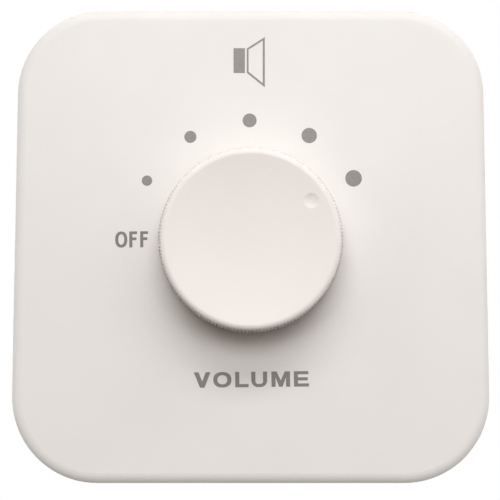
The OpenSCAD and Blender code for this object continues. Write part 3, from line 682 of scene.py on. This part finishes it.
def build_knob():
    """Dished knob with a knurled skirt and a dimple, hollow behind."""
    section = knob_section()
    across = KNURL_TEETH * len(TOOTH_SHAPE)
    base_y = knob_high.y
    face_from = max(i for i, ring in enumerate(section) if ring[2] > 0)
    verts, rings = [], []
    for index, (r, h, share) in enumerate(section):
        if r == 0:
            rings.append([len(verts)])
            verts.append((axis.x, base_y - h, axis.z))
            continue
        rings.append(list(range(len(verts), len(verts) + across)))
        for k in range(across):
            turn = 2 * math.pi * k / across
            reach = r - share * KNURL_DEPTH * TOOTH_SHAPE[k % len(TOOTH_SHAPE)]
            x, z = reach * math.sin(turn), reach * math.cos(turn)
            sag = dimple_sag(x, z) if index > face_from else 0.0
            verts.append((axis.x + x, base_y - h + sag, axis.z + z))
    faces = []
    for a, b in zip(rings, rings[1:]):
        for k in range(across):
            j = (k + 1) % across
            corners = [a[k % len(a)], a[j % len(a)], b[j % len(b)], b[k % len(b)]]
            faces.append(tuple(dict.fromkeys(corners)))
    mesh = bpy.data.meshes.new("knob_moulding")
    mesh.from_pydata(verts, [], faces)
    add_piece("knob_moulding", mesh, "dial", finishes["ivory_knob"], "knob", sharp=50)


def build_knob_ribs():
    """Four ribs between the knob's hub and its skirt."""
    section = knob_section()
    roof = section[0][1] / MM
    skirt_inside = section[5:7]
    (high_r, high_h), (low_r, low_h) = [(r / MM, h / MM) for r, h, _ in skirt_inside]
    near = HUB_R / MM - RIB_SUNK
    base = -knob_high.y / MM
    ribs = Shape()
    for turn in (45, 135, 225, 315):
        c, s = math.cos(math.radians(turn)), math.sin(math.radians(turn))
        rings = []
        for h in (RIB_LIFT, roof + RIB_ROOF_SUNK):
            far = low_r + (high_r - low_r) * (h - low_h) / (high_h - low_h) + RIB_SUNK
            flat = [(near, -RIB_T / 2), (far, -RIB_T / 2), (far, RIB_T / 2), (near, RIB_T / 2)]
            rings.append([(c * u - s * v, AXIS_RISE + s * u + c * v, base + h) for u, v in flat])
        ribs.skin(rings)
    add_piece("knob_ribs", ribs.mesh("knob_ribs"), "dial", finishes["ivory_knob"])


def outline_mesh(name, loops, low, high):
    """Closed prism over 2D loops, with inner loops as holes, between two heights over the plate's face."""
    curve = bpy.data.curves.new(name, "CURVE")
    curve.dimensions = "2D"
    curve.fill_mode = "BOTH"
    curve.extrude = (high - low) / 2
    for loop in loops:
        spline = curve.splines.new("POLY")
        spline.points.add(len(loop) - 1)
        for point, (x, y) in zip(spline.points, loop):
            point.co = (x, y, 0, 1)
        spline.use_cyclic_u = True
    holder = bpy.data.objects.new(name, curve)
    scene.collection.objects.link(holder)
    mesh = bpy.data.meshes.new_from_object(holder.evaluated_get(bpy.context.evaluated_depsgraph_get()))
    bpy.data.objects.remove(holder)
    bpy.data.curves.remove(curve)
    upright = Matrix.Rotation(math.pi / 2, 4, "X")
    seat = Matrix.Translation((axis.x, face_y - (low + high) / 2, axis.z))
    mesh.transform(seat @ upright)
    mesh.name = name
    return mesh


def print_on_plate(name, grey, loops):
    """Loops printed on the plate's face in an ink of their own."""
    mesh = outline_mesh("legend_" + name, loops, -INK_SUNK, INK_T - INK_SUNK)
    add_piece("legend_" + name, mesh, "base", ink("ink_" + name, grey))


def oval(centre, half_w, half_h, power):
    """Loop of a superellipse: power 2 is an ellipse, and more is squarer."""
    count = 64
    loop = []
    for i in range(count):
        c, s = math.cos(2 * math.pi * i / count), math.sin(2 * math.pi * i / count)
        loop.append((
            centre[0] + half_w * math.copysign(abs(c) ** (2 / power), c),
            centre[1] + half_h * math.copysign(abs(s) ** (2 / power), s),
        ))
    return loop


def moved(loops, x, y, turn=0.0):
    """Loops turned about their own origin and moved."""
    c, s = math.cos(turn), math.sin(turn)
    return [[(px * c - py * s + x, px * s + py * c + y) for px, py in loop] for loop in loops]


# Letters, each drawn from its lower left corner, w wide and h high, with stems s and bars b thick
def letter_v(w, h, s, b):
    tip, arm = 0.54 * s, 1.15 * s
    return [[(0, h), (w / 2 - tip, 0), (w / 2 + tip, 0), (w, h), (w - arm, h), (w / 2, 1.5 * s), (arm, h)]]


def letter_o(w, h, s, b):
    centre = (w / 2, h / 2)
    return [oval(centre, w / 2, h / 2, 2.3), oval(centre, w / 2 - s, h / 2 - b, 2.2)]


def letter_l(w, h, s, b):
    return [[(0, 0), (w, 0), (w, b), (s, b), (s, h), (0, h)]]


def letter_u(w, h, s, b):
    r = 0.42 * w
    outer = arc((r, r), r, math.pi, 1.5 * math.pi, 12) + arc((w - r, r), r, 1.5 * math.pi, 2 * math.pi, 12)
    q = r - s
    inner = arc((w - r, q + b), q, 0, -math.pi / 2, 12) + arc((r, q + b), q, -math.pi / 2, -math.pi, 12)
    return [[(0, h)] + outer + [(w, h), (w - s, h)] + inner + [(s, h)]]


def letter_m(w, h, s, b):
    return [[
        (0, 0), (0, h), (1.25 * s, h), (w / 2, 0.42 * h), (w - 1.25 * s, h), (w, h), (w, 0), (w - s, 0),
        (w - s, 0.62 * h), (w / 2 + 0.42 * s, 0), (w / 2 - 0.42 * s, 0), (s, 0.62 * h), (s, 0),
    ]]


def letter_e(w, h, s, b):
    mid = (h - b) / 2
    return [[
        (0, 0), (w, 0), (w, b), (s, b), (s, mid), (0.93 * w, mid), (0.93 * w, mid + b), (s, mid + b),
        (s, h - b), (0.97 * w, h - b), (0.97 * w, h), (0, h),
    ]]


def letter_f(w, h, s, b):
    mid = 0.45 * h
    return [[
        (0, 0), (s, 0), (s, mid), (0.92 * w, mid), (0.92 * w, mid + b), (s, mid + b), (s, h - b), (w, h - b),
        (w, h), (0, h),
    ]]


# Printed words: name, grey of the ink, place, height, stem and bar, then each letter's left edge and width
WORDS = (
    ("volume", 0.172, (0.35, -26.38), 2.74, 0.74, 0.56, (
        (letter_v, -10.55, 3.0), (letter_o, -7.05, 3.25), (letter_l, -3.12, 2.4),
        (letter_u, -0.22, 2.85), (letter_m, 3.4, 3.35), (letter_e, 7.43, 2.7),
    )),
    ("off", 0.155, (-22.22, -1.33), 2.92, 0.56, 0.51, (
        (letter_o, -2.4, 2.2), (letter_f, 0.16, 1.42), (letter_f, 2.15, 1.42),
    )),
)


def build_legend():
    """Five growing dots, OFF, VOLUME and a loudspeaker, printed on the plate."""
    dots = []
    for k, size in enumerate(DOT_SIZES):
        turn = (k - 2) * DOT_STEP - LEGEND_TURN
        centre = DOT_CENTRE + DOT_RING * Vector((math.sin(turn), math.cos(turn)))
        dots.append(arc(centre, size / 2, 0, 2 * math.pi, 48)[:-1])
    print_on_plate("dots", DOT_GREY, dots)
    for name, grey, (x, y), height, stem, bar, letters in WORDS:
        loops = []
        for letter, left, width in letters:
            loops += moved(letter(width * MM, height * MM, stem * MM, bar * MM), left * MM, 0)
        print_on_plate(name, grey, moved(loops, x * MM, y * MM, LEGEND_TURN))
    loops = [[(x * MM, y * MM) for x, y in loop] for loop in LOUDSPEAKER]
    print_on_plate("loudspeaker", LOUDSPEAKER_GREY, loops)


def bend(guide, t):
    """Point on the smooth bend through four guide points."""
    a, b, c, d = (Vector(point) for point in guide)
    return a * (1 - t) ** 3 + 3 * b * t * (1 - t) ** 2 + 3 * c * t * t * (1 - t) + d * t**3


def tail(angle):
    """End of a contact's solder tail."""
    a = math.radians(angle)
    return (TAIL_R * math.cos(a), AXIS_RISE + TAIL_R * math.sin(a), TAIL_Z)


def behind(point, far):
    """Point farther into the wall."""
    return (point[0], point[1], point[2] - far)


def lead_guides():
    """Guide points of the six tap leads and the three line leads, as in the CAD model."""

    def guide(start, end, reach):
        return (start, behind(start, reach[0]), behind(end, reach[1]), end)

    taps = [guide((x, PIN_Y, PIN_Z), tail(a), TAP_REACH) for x, a in zip(PIN_X[1:-1], TAP_ANGLES)]
    lines = [guide((0, PAD_Y, BOARD_BACK), tail(COMMON_ANGLE), TAP_REACH)]
    for pad_x, pin_x in ((-PAD_X, PIN_X[0]), (PAD_X, PIN_X[-1])):
        lines.append(guide((pad_x, PAD_Y, BOARD_BACK), (pin_x, PIN_Y, PIN_Z), LINE_REACH))
    return taps, lines


def build_leads():
    """Insulated leads, stripped and tinned at their ends."""
    steps, bare_r, bare_l = 64, 0.32, 1.6
    taps, lines = lead_guides()
    bare = Shape()
    for name, node, slot, guides in (
        ("tap_sleeves", "tap_leads", "lead_red", taps), ("line_sleeves", "line_leads", "lead_grey", lines),
    ):
        sleeves = Shape()
        for guide in guides:
            path = [bend(guide, i / steps) for i in range(steps + 1)]
            bare.tube(path, bare_r, sides=10)
            covered = [p for p in path if min((p - path[0]).length, (p - path[-1]).length) > bare_l]
            sleeves.tube(covered, LEAD_R, sides=18)
        add_piece(name, sleeves.mesh(name), "base", finishes[slot], node)
    add_piece("lead_ends", bare.mesh("lead_ends"), "base", finishes["solder"])


def build_solder():
    """Solder on the pins, tails and pads, and the winding's ends wrapped round the pins."""
    drop = [(0.06, -1.1), (0.42, -0.98), (0.68, -0.6), (0.8, 0), (0.72, 0.6), (0.56, 1.1), (0.42, 1.5)]
    cone = [(1.5, 0.02), (1.5, -0.06), (1.2, -0.12), (0.86, -0.5), (0.68, -1.1), (0.5, -1.5)]
    stub = [(1.2, -0.02), (1.2, 0.05), (0.95, 0.16), (0.7, 0.6), (0.6, 1.1), (0.3, 1.4)]
    wire_r, wrap_r, wrap_pitch, turns, per_turn = 0.12, 0.52, 0.3, 3, 14
    wrap_z = FLANGE_Z - 0.35
    long_r, wide_r = 0.75, 1.45
    joints, wraps = Shape(), Shape()
    for x in PIN_X:
        joints.lathe(drop, (x, PIN_Y, PIN_Z))
        wrap = []
        for i in range(turns * per_turn + 1):
            a = 2 * math.pi * i / per_turn
            z = wrap_z - wrap_pitch * i / per_turn
            wrap.append((x + wrap_r * math.cos(a), PIN_Y + wrap_r * math.sin(a), z))
        wraps.tube(wrap, wire_r, sides=6)
    for angle in TAP_ANGLES + [COMMON_ANGLE]:
        c, s = math.cos(math.radians(angle)), math.sin(math.radians(angle))
        joints.lathe(drop, tail(angle), (long_r * c, long_r * s), (-wide_r * s, wide_r * c))
    for x in (-PAD_X, 0, PAD_X):
        joints.lathe(cone, (x, PAD_Y, BOARD_BACK))
    for x in WAY_X:
        joints.lathe(stub, (x, WAY_Y, BOARD_FRONT))
    add_piece("solder_joints", joints.mesh("solder_joints"), "base", finishes["solder"])
    add_piece("winding_ends", wraps.mesh("winding_ends"), "base", finishes["copper"])


def stroke(path, width):
    """Outline of a strip along a path, with mitred corners and round ends."""
    half, quarter = width / 2, math.pi / 2
    ways = [math.atan2(y1 - y0, x1 - x0) for (x0, y0), (x1, y1) in zip(path, path[1:])]
    left, right = [], []
    for (x, y), before, after in zip(path[1:-1], ways, ways[1:]):
        turn = math.remainder(after - before, 2 * math.pi) / 2
        mitre = half / math.cos(turn)
        u, v = mitre * math.cos(before + turn), mitre * math.sin(before + turn)
        left.append((x - v, y + u))
        right.append((x + v, y - u))
    end = arc(path[-1], half, ways[-1] + quarter, ways[-1] - quarter, 8)
    start = arc(path[0], half, ways[0] - quarter, ways[0] - 3 * quarter, 8)
    return left + end + right[::-1] + start


def build_board_print():
    """Tracks under the board's solder mask, and white lines round the terminals and pads."""
    track_w, track_t, line_w, line_t, sunk = 1.1, 0.05, 0.2, 0.09, 0.02
    step = 0.005
    ring_r, ring_start, ring_end = 1.85, 0.15 * math.pi, 0.85 * math.pi
    tracks, lines = Shape(), Shape()
    for k, path in enumerate((
        [(-PAD_X, PAD_Y), (-9.6, 18.4), (-7.5, 20.5)], [(0, PAD_Y), (0, 18.6), (-2.5, 20.8)],
        [(PAD_X, PAD_Y), (9.6, 18.4), (7.5, 20.5)], [(PAD_X, PAD_Y), (6, 17.6), (2.5, 20.8)],
    )):
        tracks.prism(stroke(path, track_w), BOARD_BACK - track_t - step * k, BOARD_BACK + sunk)
    marks = [[(-11, 28.6), (-11, 19.2), (11, 19.2), (11, 28.6)]]
    marks += [arc((x, PAD_Y), ring_r, ring_start, ring_end, 8) for x in (-PAD_X, 0, PAD_X)]
    for path in marks:
        lines.prism(stroke(path, line_w), BOARD_BACK - line_t, BOARD_BACK + sunk)
    add_piece("board_tracks", tracks.mesh("board_tracks"), "base", finishes["track"])
    add_piece("board_lines", lines.mesh("board_lines"), "base", finishes["white_print"])


def build_frame():
    """Mounting frame with a sunk panel in its back, in which TOP and two arrows stand up."""
    low, high, depth, line = 33.0, 36.2, 0.4, 0.5
    panel_w, panel_h, square = 11, 3.1, 9
    t_left, t_right, p_left, arrow_x, arrow_w = -4.9, -2.5, 2.5, 8, 1.1
    o_half, o_square = 1.5, 2.3
    middle, quarter = (low + high) / 2, math.pi / 2
    panel = Shape().prism(oval((0, middle), panel_w, panel_h, square), -1, depth)
    soften("mounting_frame", 0.2, panel.mesh("panel"))

    bar, head = high - line, high - arrow_w
    stem_left, stem_right = -3.95, -3.45
    letter_t = [(t_left, high), (t_left, bar), (stem_left, bar), (stem_left, low)]
    letter_t += [(stem_right, low), (stem_right, bar), (t_right, bar), (t_right, high)]
    p_stem = p_left + line
    stem = [(p_left, low), (p_stem, low), (p_stem, high), (p_left, high)]
    bowl_r, bowl_x = 0.95, 3.6
    bowl = [(p_stem, high)] + arc((bowl_x, high - bowl_r), bowl_r, quarter, -quarter, 10)
    bowl += [(p_stem, high - 2 * bowl_r), (p_stem, high - 2 * bowl_r + line)]
    bowl += arc((bowl_x, high - bowl_r), bowl_r - line, -quarter, quarter, 10) + [(p_stem, bar)]
    solids = [letter_t, stem, bowl]
    for u in (-arrow_x, arrow_x):
        left, right = u - line / 2, u + line / 2
        arrow = [(left, low), (right, low), (right, head), (u + arrow_w, head), (u, high + 0.3)]
        solids.append(arrow + [(u - arrow_w, head), (left, head)])
    top, root = depth / 4, depth + 0.05
    mark = Shape()
    for outline in solids:
        mark.prism([(-u, v) for u, v in outline], top, root)
    ring = [oval((0, middle), o_half - inset, (high - low) / 2 - inset, o_square) for inset in (0, line)]
    mark.sleeve([[(x, y, z) for x, y in ring[k]] for k, z in ((0, root), (0, top), (1, top), (1, root))])
    add_piece("frame_mark", mark.mesh("frame_mark"), "base", finishes["frame_plastic"])


def build_core():
    """Stacks of E and I plates, no two quite flush."""
    half, window = CORE_HALF_W, CORE_HALF_W - LEG_W
    back, seam = CORE_BACK + LEG_W, CORE_SEAM
    e_outline = [
        (-half, CORE_BACK), (half, CORE_BACK), (half, seam), (window, seam), (window, back), (LEG_W, back),
        (LEG_W, seam), (-LEG_W, seam), (-LEG_W, back), (-window, back), (-window, seam), (-half, seam),
    ]
    i_outline = [(-half, seam), (half, seam), (half, CORE_FRONT), (-half, CORE_FRONT)]
    for letter, outline in (("e", e_outline), ("i", i_outline)):
        name, node = f"core_{letter}_plates", f"core_{letter}"
        stack = Shape()
        for k in range(round(STACK / PLATE_T)):
            low = CORE_Y - STACK / 2 + k * PLATE_T
            inset = 0.997 - 0.0012 * (k * 7 % 5)
            slack = 0.02 * (k * 3 % 4)
            plate = [(x * inset, z + slack * (1 if z < seam else -1)) for x, z in outline]
            stack.prism(plate, low + PLATE_GAP / 2, low + PLATE_T - PLATE_GAP / 2, "y")
        add_piece(name, stack.mesh(name), "base", finishes["core_steel"], node)


def build_strap():
    """Steel strap with rolled bends round the back of the core, drilled for its screws."""
    half, t = CORE_HALF_W, 1
    bend_r, fold_r, tight_r, hole_r = 0.6, 1.5, 0.15, 1.65
    turn = math.pi / 2
    side = [(EAR_END, -t), (EAR_END, 0)]
    side += arc((half + t + bend_r, -t - bend_r), t + bend_r, turn, 2 * turn, 8)
    side += arc((half - tight_r, CORE_BACK + tight_r), tight_r, 0, -turn, 4)
    left = [(-x, z) for x, z in reversed(side)]
    outer = arc((half + t + bend_r, -t - bend_r), bend_r, turn, 2 * turn, 8)
    outer += arc((half + t - fold_r, CORE_BACK - t + fold_r), fold_r, 0, -turn, 10)
    outline = side + left + [(-x, z) for x, z in outer] + list(reversed(outer))
    strap = Shape().prism(outline, CORE_Y - STRAP_W / 2, CORE_Y + STRAP_W / 2, "y").mesh("strap_blank")
    holes = Shape()
    for x in (-EAR_X, EAR_X):
        holes.lathe([(hole_r, -3), (hole_r, 3)], (x, CORE_Y, 0), sides=40)
    mesh = bevelled(carved(strap, holes.mesh("strap_holes")), 0.12)
    add_piece("strap_bent", mesh, "base", finishes["steel"], "core_strap")


def build_tape():
    """Tape wound over the winding, a little crowned, with its loose end showing as a step."""
    corner, layer, inner, outer, bulge = 4.6, 0.12, 0.03, 0.06, 0.1
    count, levels = 20, 12
    w, h = COIL_HALF
    outline, ways = [], []
    for side_x, side_y, start in ((1, 1, 0), (-1, 1, 90), (-1, -1, 180), (1, -1, 270)):
        for i in range(count + 1):
            a = math.radians(start + 90 * i / count)
            u, v = math.cos(a), math.sin(a)
            ways.append((u, v))
            outline.append((side_x * (w - corner) + corner * u, side_y * (h - corner) + corner * v))
    seam = count // 2
    outline, ways = outline[seam:] + outline[:seam + 1], ways[seam:] + ways[:seam + 1]
    low, high = COIL_ENDS
    rings = []
    for j in range(levels + 1):
        share = j / levels
        crown = bulge * math.sin(math.pi * share) ** 0.6
        ring = []
        for i, ((x, y), (u, v)) in enumerate(zip(outline, ways)):
            lift = outer + layer * i / len(outline) + crown
            ring.append((x + u * lift, CORE_Y + y + v * lift, low + (high - low) * share))
        rings.append(ring)
    for z in (high, low):
        rings.append([(x + inner * u, CORE_Y + y + inner * v, z) for (x, y), (u, v) in zip(outline, ways)])
    wrap = Shape().sleeve(rings)
    add_piece("tape_wrap", wrap.mesh("tape_wrap"), "base", finishes["tape"], "winding_tape")


def build_screws():
    """Pan head screws with a cross recess."""
    reach, slot, depth = 1.75, 0.35, 0.95
    shank_r, point_r, point_l = 1.4, 0.9, 0.6
    cross = [
        (slot, slot), (slot, reach), (-slot, reach), (-slot, slot), (-reach, slot), (-reach, -slot),
        (-slot, -slot), (-slot, -reach), (slot, -reach), (slot, -slot), (reach, -slot), (reach, slot),
    ]
    head = [(2.6, 0), (2.7, -0.1)]
    head += [(2.7 * math.cos(a), -0.5 - 1.5 * math.sin(a)) for a in [math.radians(7 * i) for i in range(13)]]
    screw_x, screw_y = BOARD_SCREW
    for name, node, spots, seat, length in (
        ("strap_screw_heads", "strap_screws", [(-EAR_X, CORE_Y), (EAR_X, CORE_Y)], -1, 4),
        ("board_screw_heads", "board_screws", [(-screw_x, screw_y), (screw_x, screw_y)], BOARD_BACK, 9.1),
    ):
        profile = [(point_r, length), (shank_r, length - point_l), (shank_r, 0)] + head
        screws, cutters = Shape(), Shape()
        for turn, (x, y) in zip((0.35, 1.1), spots):
            screws.lathe(profile, (x, y, seat), sides=48)
            c, s = math.cos(turn), math.sin(turn)
            recess = [(x + c * u - s * v, y + s * u + c * v) for u, v in cross]
            cutters.prism(recess, seat - 3, seat - 2 + depth)
        mesh = bevelled(carved(screws.mesh(name), cutters.mesh("recess")), 0.05)
        add_piece(name, mesh, "base", finishes["steel"], node)


def build_studs():
    """Studs with their threads, where they stand out of the nuts."""
    pitch, root, crest, point_r, point_l, thread_end = 0.45, 1.06, 1.25, 0.85, 0.15, -11
    z = STUD_BACK + point_l
    profile = [(point_r, STUD_BACK), (root, z)]
    while z < thread_end:
        profile += [(crest, z + 0.4 * pitch), (crest, z + 0.5 * pitch)]
        profile += [(root, z + 0.9 * pitch), (root, z + pitch)]
        z += pitch
    profile += [(crest, z + 0.3), (crest, 0)]
    studs = Shape()
    for x in (-STUD_X, STUD_X):
        studs.lathe(profile, (x, AXIS_RISE, 0), sides=32)
    mesh = studs.mesh("studs_threaded")
    add_piece("studs_threaded", mesh, "base", finishes["dark_steel"], "switch_studs")


def add_softbox(name, height, side, half_h, half_w, reach, power, colour=(1, 1, 1)):
    """Soft light that faces the plate, from a height and a side in degrees."""
    e, s = math.radians(height), math.radians(side)
    place = reach * Vector((math.cos(e) * math.sin(s), -math.cos(e) * math.cos(s), math.sin(e)))
    lamp = bpy.data.lights.new(name, "AREA")
    lamp.shape = "RECTANGLE"
    lamp.size = 2 * reach * math.tan(math.radians(half_w))
    lamp.size_y = 2 * reach * math.tan(math.radians(half_h))
    lamp.energy = power
    lamp.color = colour
    holder = bpy.data.objects.new(name, lamp)
    scene.collection.objects.link(holder)
    holder.location = place
    holder.rotation_euler = (-place).to_track_quat("-Z", "Y").to_euler()


def seen_rays(tree):
    """One for camera, glossy and transmission rays, and nought for the rays that only carry light."""
    path = tree.nodes.new("ShaderNodeLightPath")
    total = path.outputs["Is Camera Ray"]
    for ray in ("Is Glossy Ray", "Is Transmission Ray"):
        add = tree.nodes.new("ShaderNodeMath")
        add.operation = "MAXIMUM"
        tree.links.new(total, add.inputs[0])
        tree.links.new(path.outputs[ray], add.inputs[1])
        total = add.outputs[0]
    return total


def light_studio():
    """White surroundings, softboxes in front and behind, and a warm fill by the camera."""
    studio = bpy.data.worlds.new("studio")
    scene.world = studio
    studio.use_nodes = True
    tree = studio.node_tree
    colour = tree.nodes.new("ShaderNodeMix")
    colour.data_type = "RGBA"
    colour.inputs["A"].default_value = (*AMBIENT, 1)
    colour.inputs["B"].default_value = (1, 1, 1, 1)
    tree.links.new(seen_rays(tree), colour.inputs["Factor"])
    tree.links.new(colour.outputs["Result"], tree.nodes["Background"].inputs["Color"])
    for lamp in (*FRONT_LAMPS, *REAR_LAMPS, FILL_LAMP):
        add_softbox(*lamp)


def lay_floor():
    """Pale floor that keeps the object's shadow, fades into the surroundings and throws little light back."""
    fade_start, fade_end = 0.35 * FLOOR_R, 0.95 * FLOOR_R
    bpy.ops.mesh.primitive_circle_add(vertices=96, radius=FLOOR_R, fill_type="NGON", location=(0, 0, FLOOR_Z))
    floor = bpy.context.object
    floor.name = "floor"
    look = Look("floor", (0.9, 0.9, 0.89), 0.8)
    look.tint(look.noise(60, 3), (0.88, 0.88, 0.87), (0.92, 0.92, 0.91))
    away = look.add("ShaderNodeVectorMath", operation="LENGTH")
    look.link(look.place, away.inputs[0])
    clear = look.add("ShaderNodeBsdfTransparent")
    fade = look.add("ShaderNodeMixShader")
    look.link(look.between(away.outputs["Value"], 0, 1, fade_start, fade_end), fade.inputs[0])
    look.link(look.shader.outputs[0], fade.inputs[1])
    look.link(clear.outputs[0], fade.inputs[2])
    dim = look.add("ShaderNodeBsdfDiffuse")
    dim.inputs["Color"].default_value = (0.03, 0.03, 0.03, 1)
    seen = look.add("ShaderNodeMixShader")
    look.link(seen_rays(look.tree), seen.inputs[0])
    look.link(dim.outputs[0], seen.inputs[1])
    look.link(fade.outputs[0], seen.inputs[2])
    look.link(seen.outputs[0], look.tree.nodes["Material Output"].inputs["Surface"])
    floor.data.materials.append(look.material)


def place_camera():
    """Camera a little below the knob's axis, tipped up and shifted as in the photograph."""
    lens = bpy.data.cameras.new("camera")
    lens.lens = LENS
    lens.sensor_width = SENSOR
    lens.shift_y = SHIFT_UP
    camera = bpy.data.objects.new("camera", lens)
    scene.collection.objects.link(camera)
    camera.location = (CAMERA_SIDE, face_y - CAMERA_REACH, -CAMERA_DROP)
    camera.rotation_euler = (math.pi / 2 + CAMERA_PITCH, 0, 0)
    scene.camera = camera


dress_nodes()
build_knob()
build_knob_ribs()
build_legend()
build_leads()
build_solder()
build_board_print()
build_core()
build_strap()
build_tape()
build_screws()
build_studs()
build_frame()
for node, width in SOFTENED:
    soften(node, width)
light_studio()
lay_floor()
place_camera()
scene.view_settings.view_transform = "Standard"
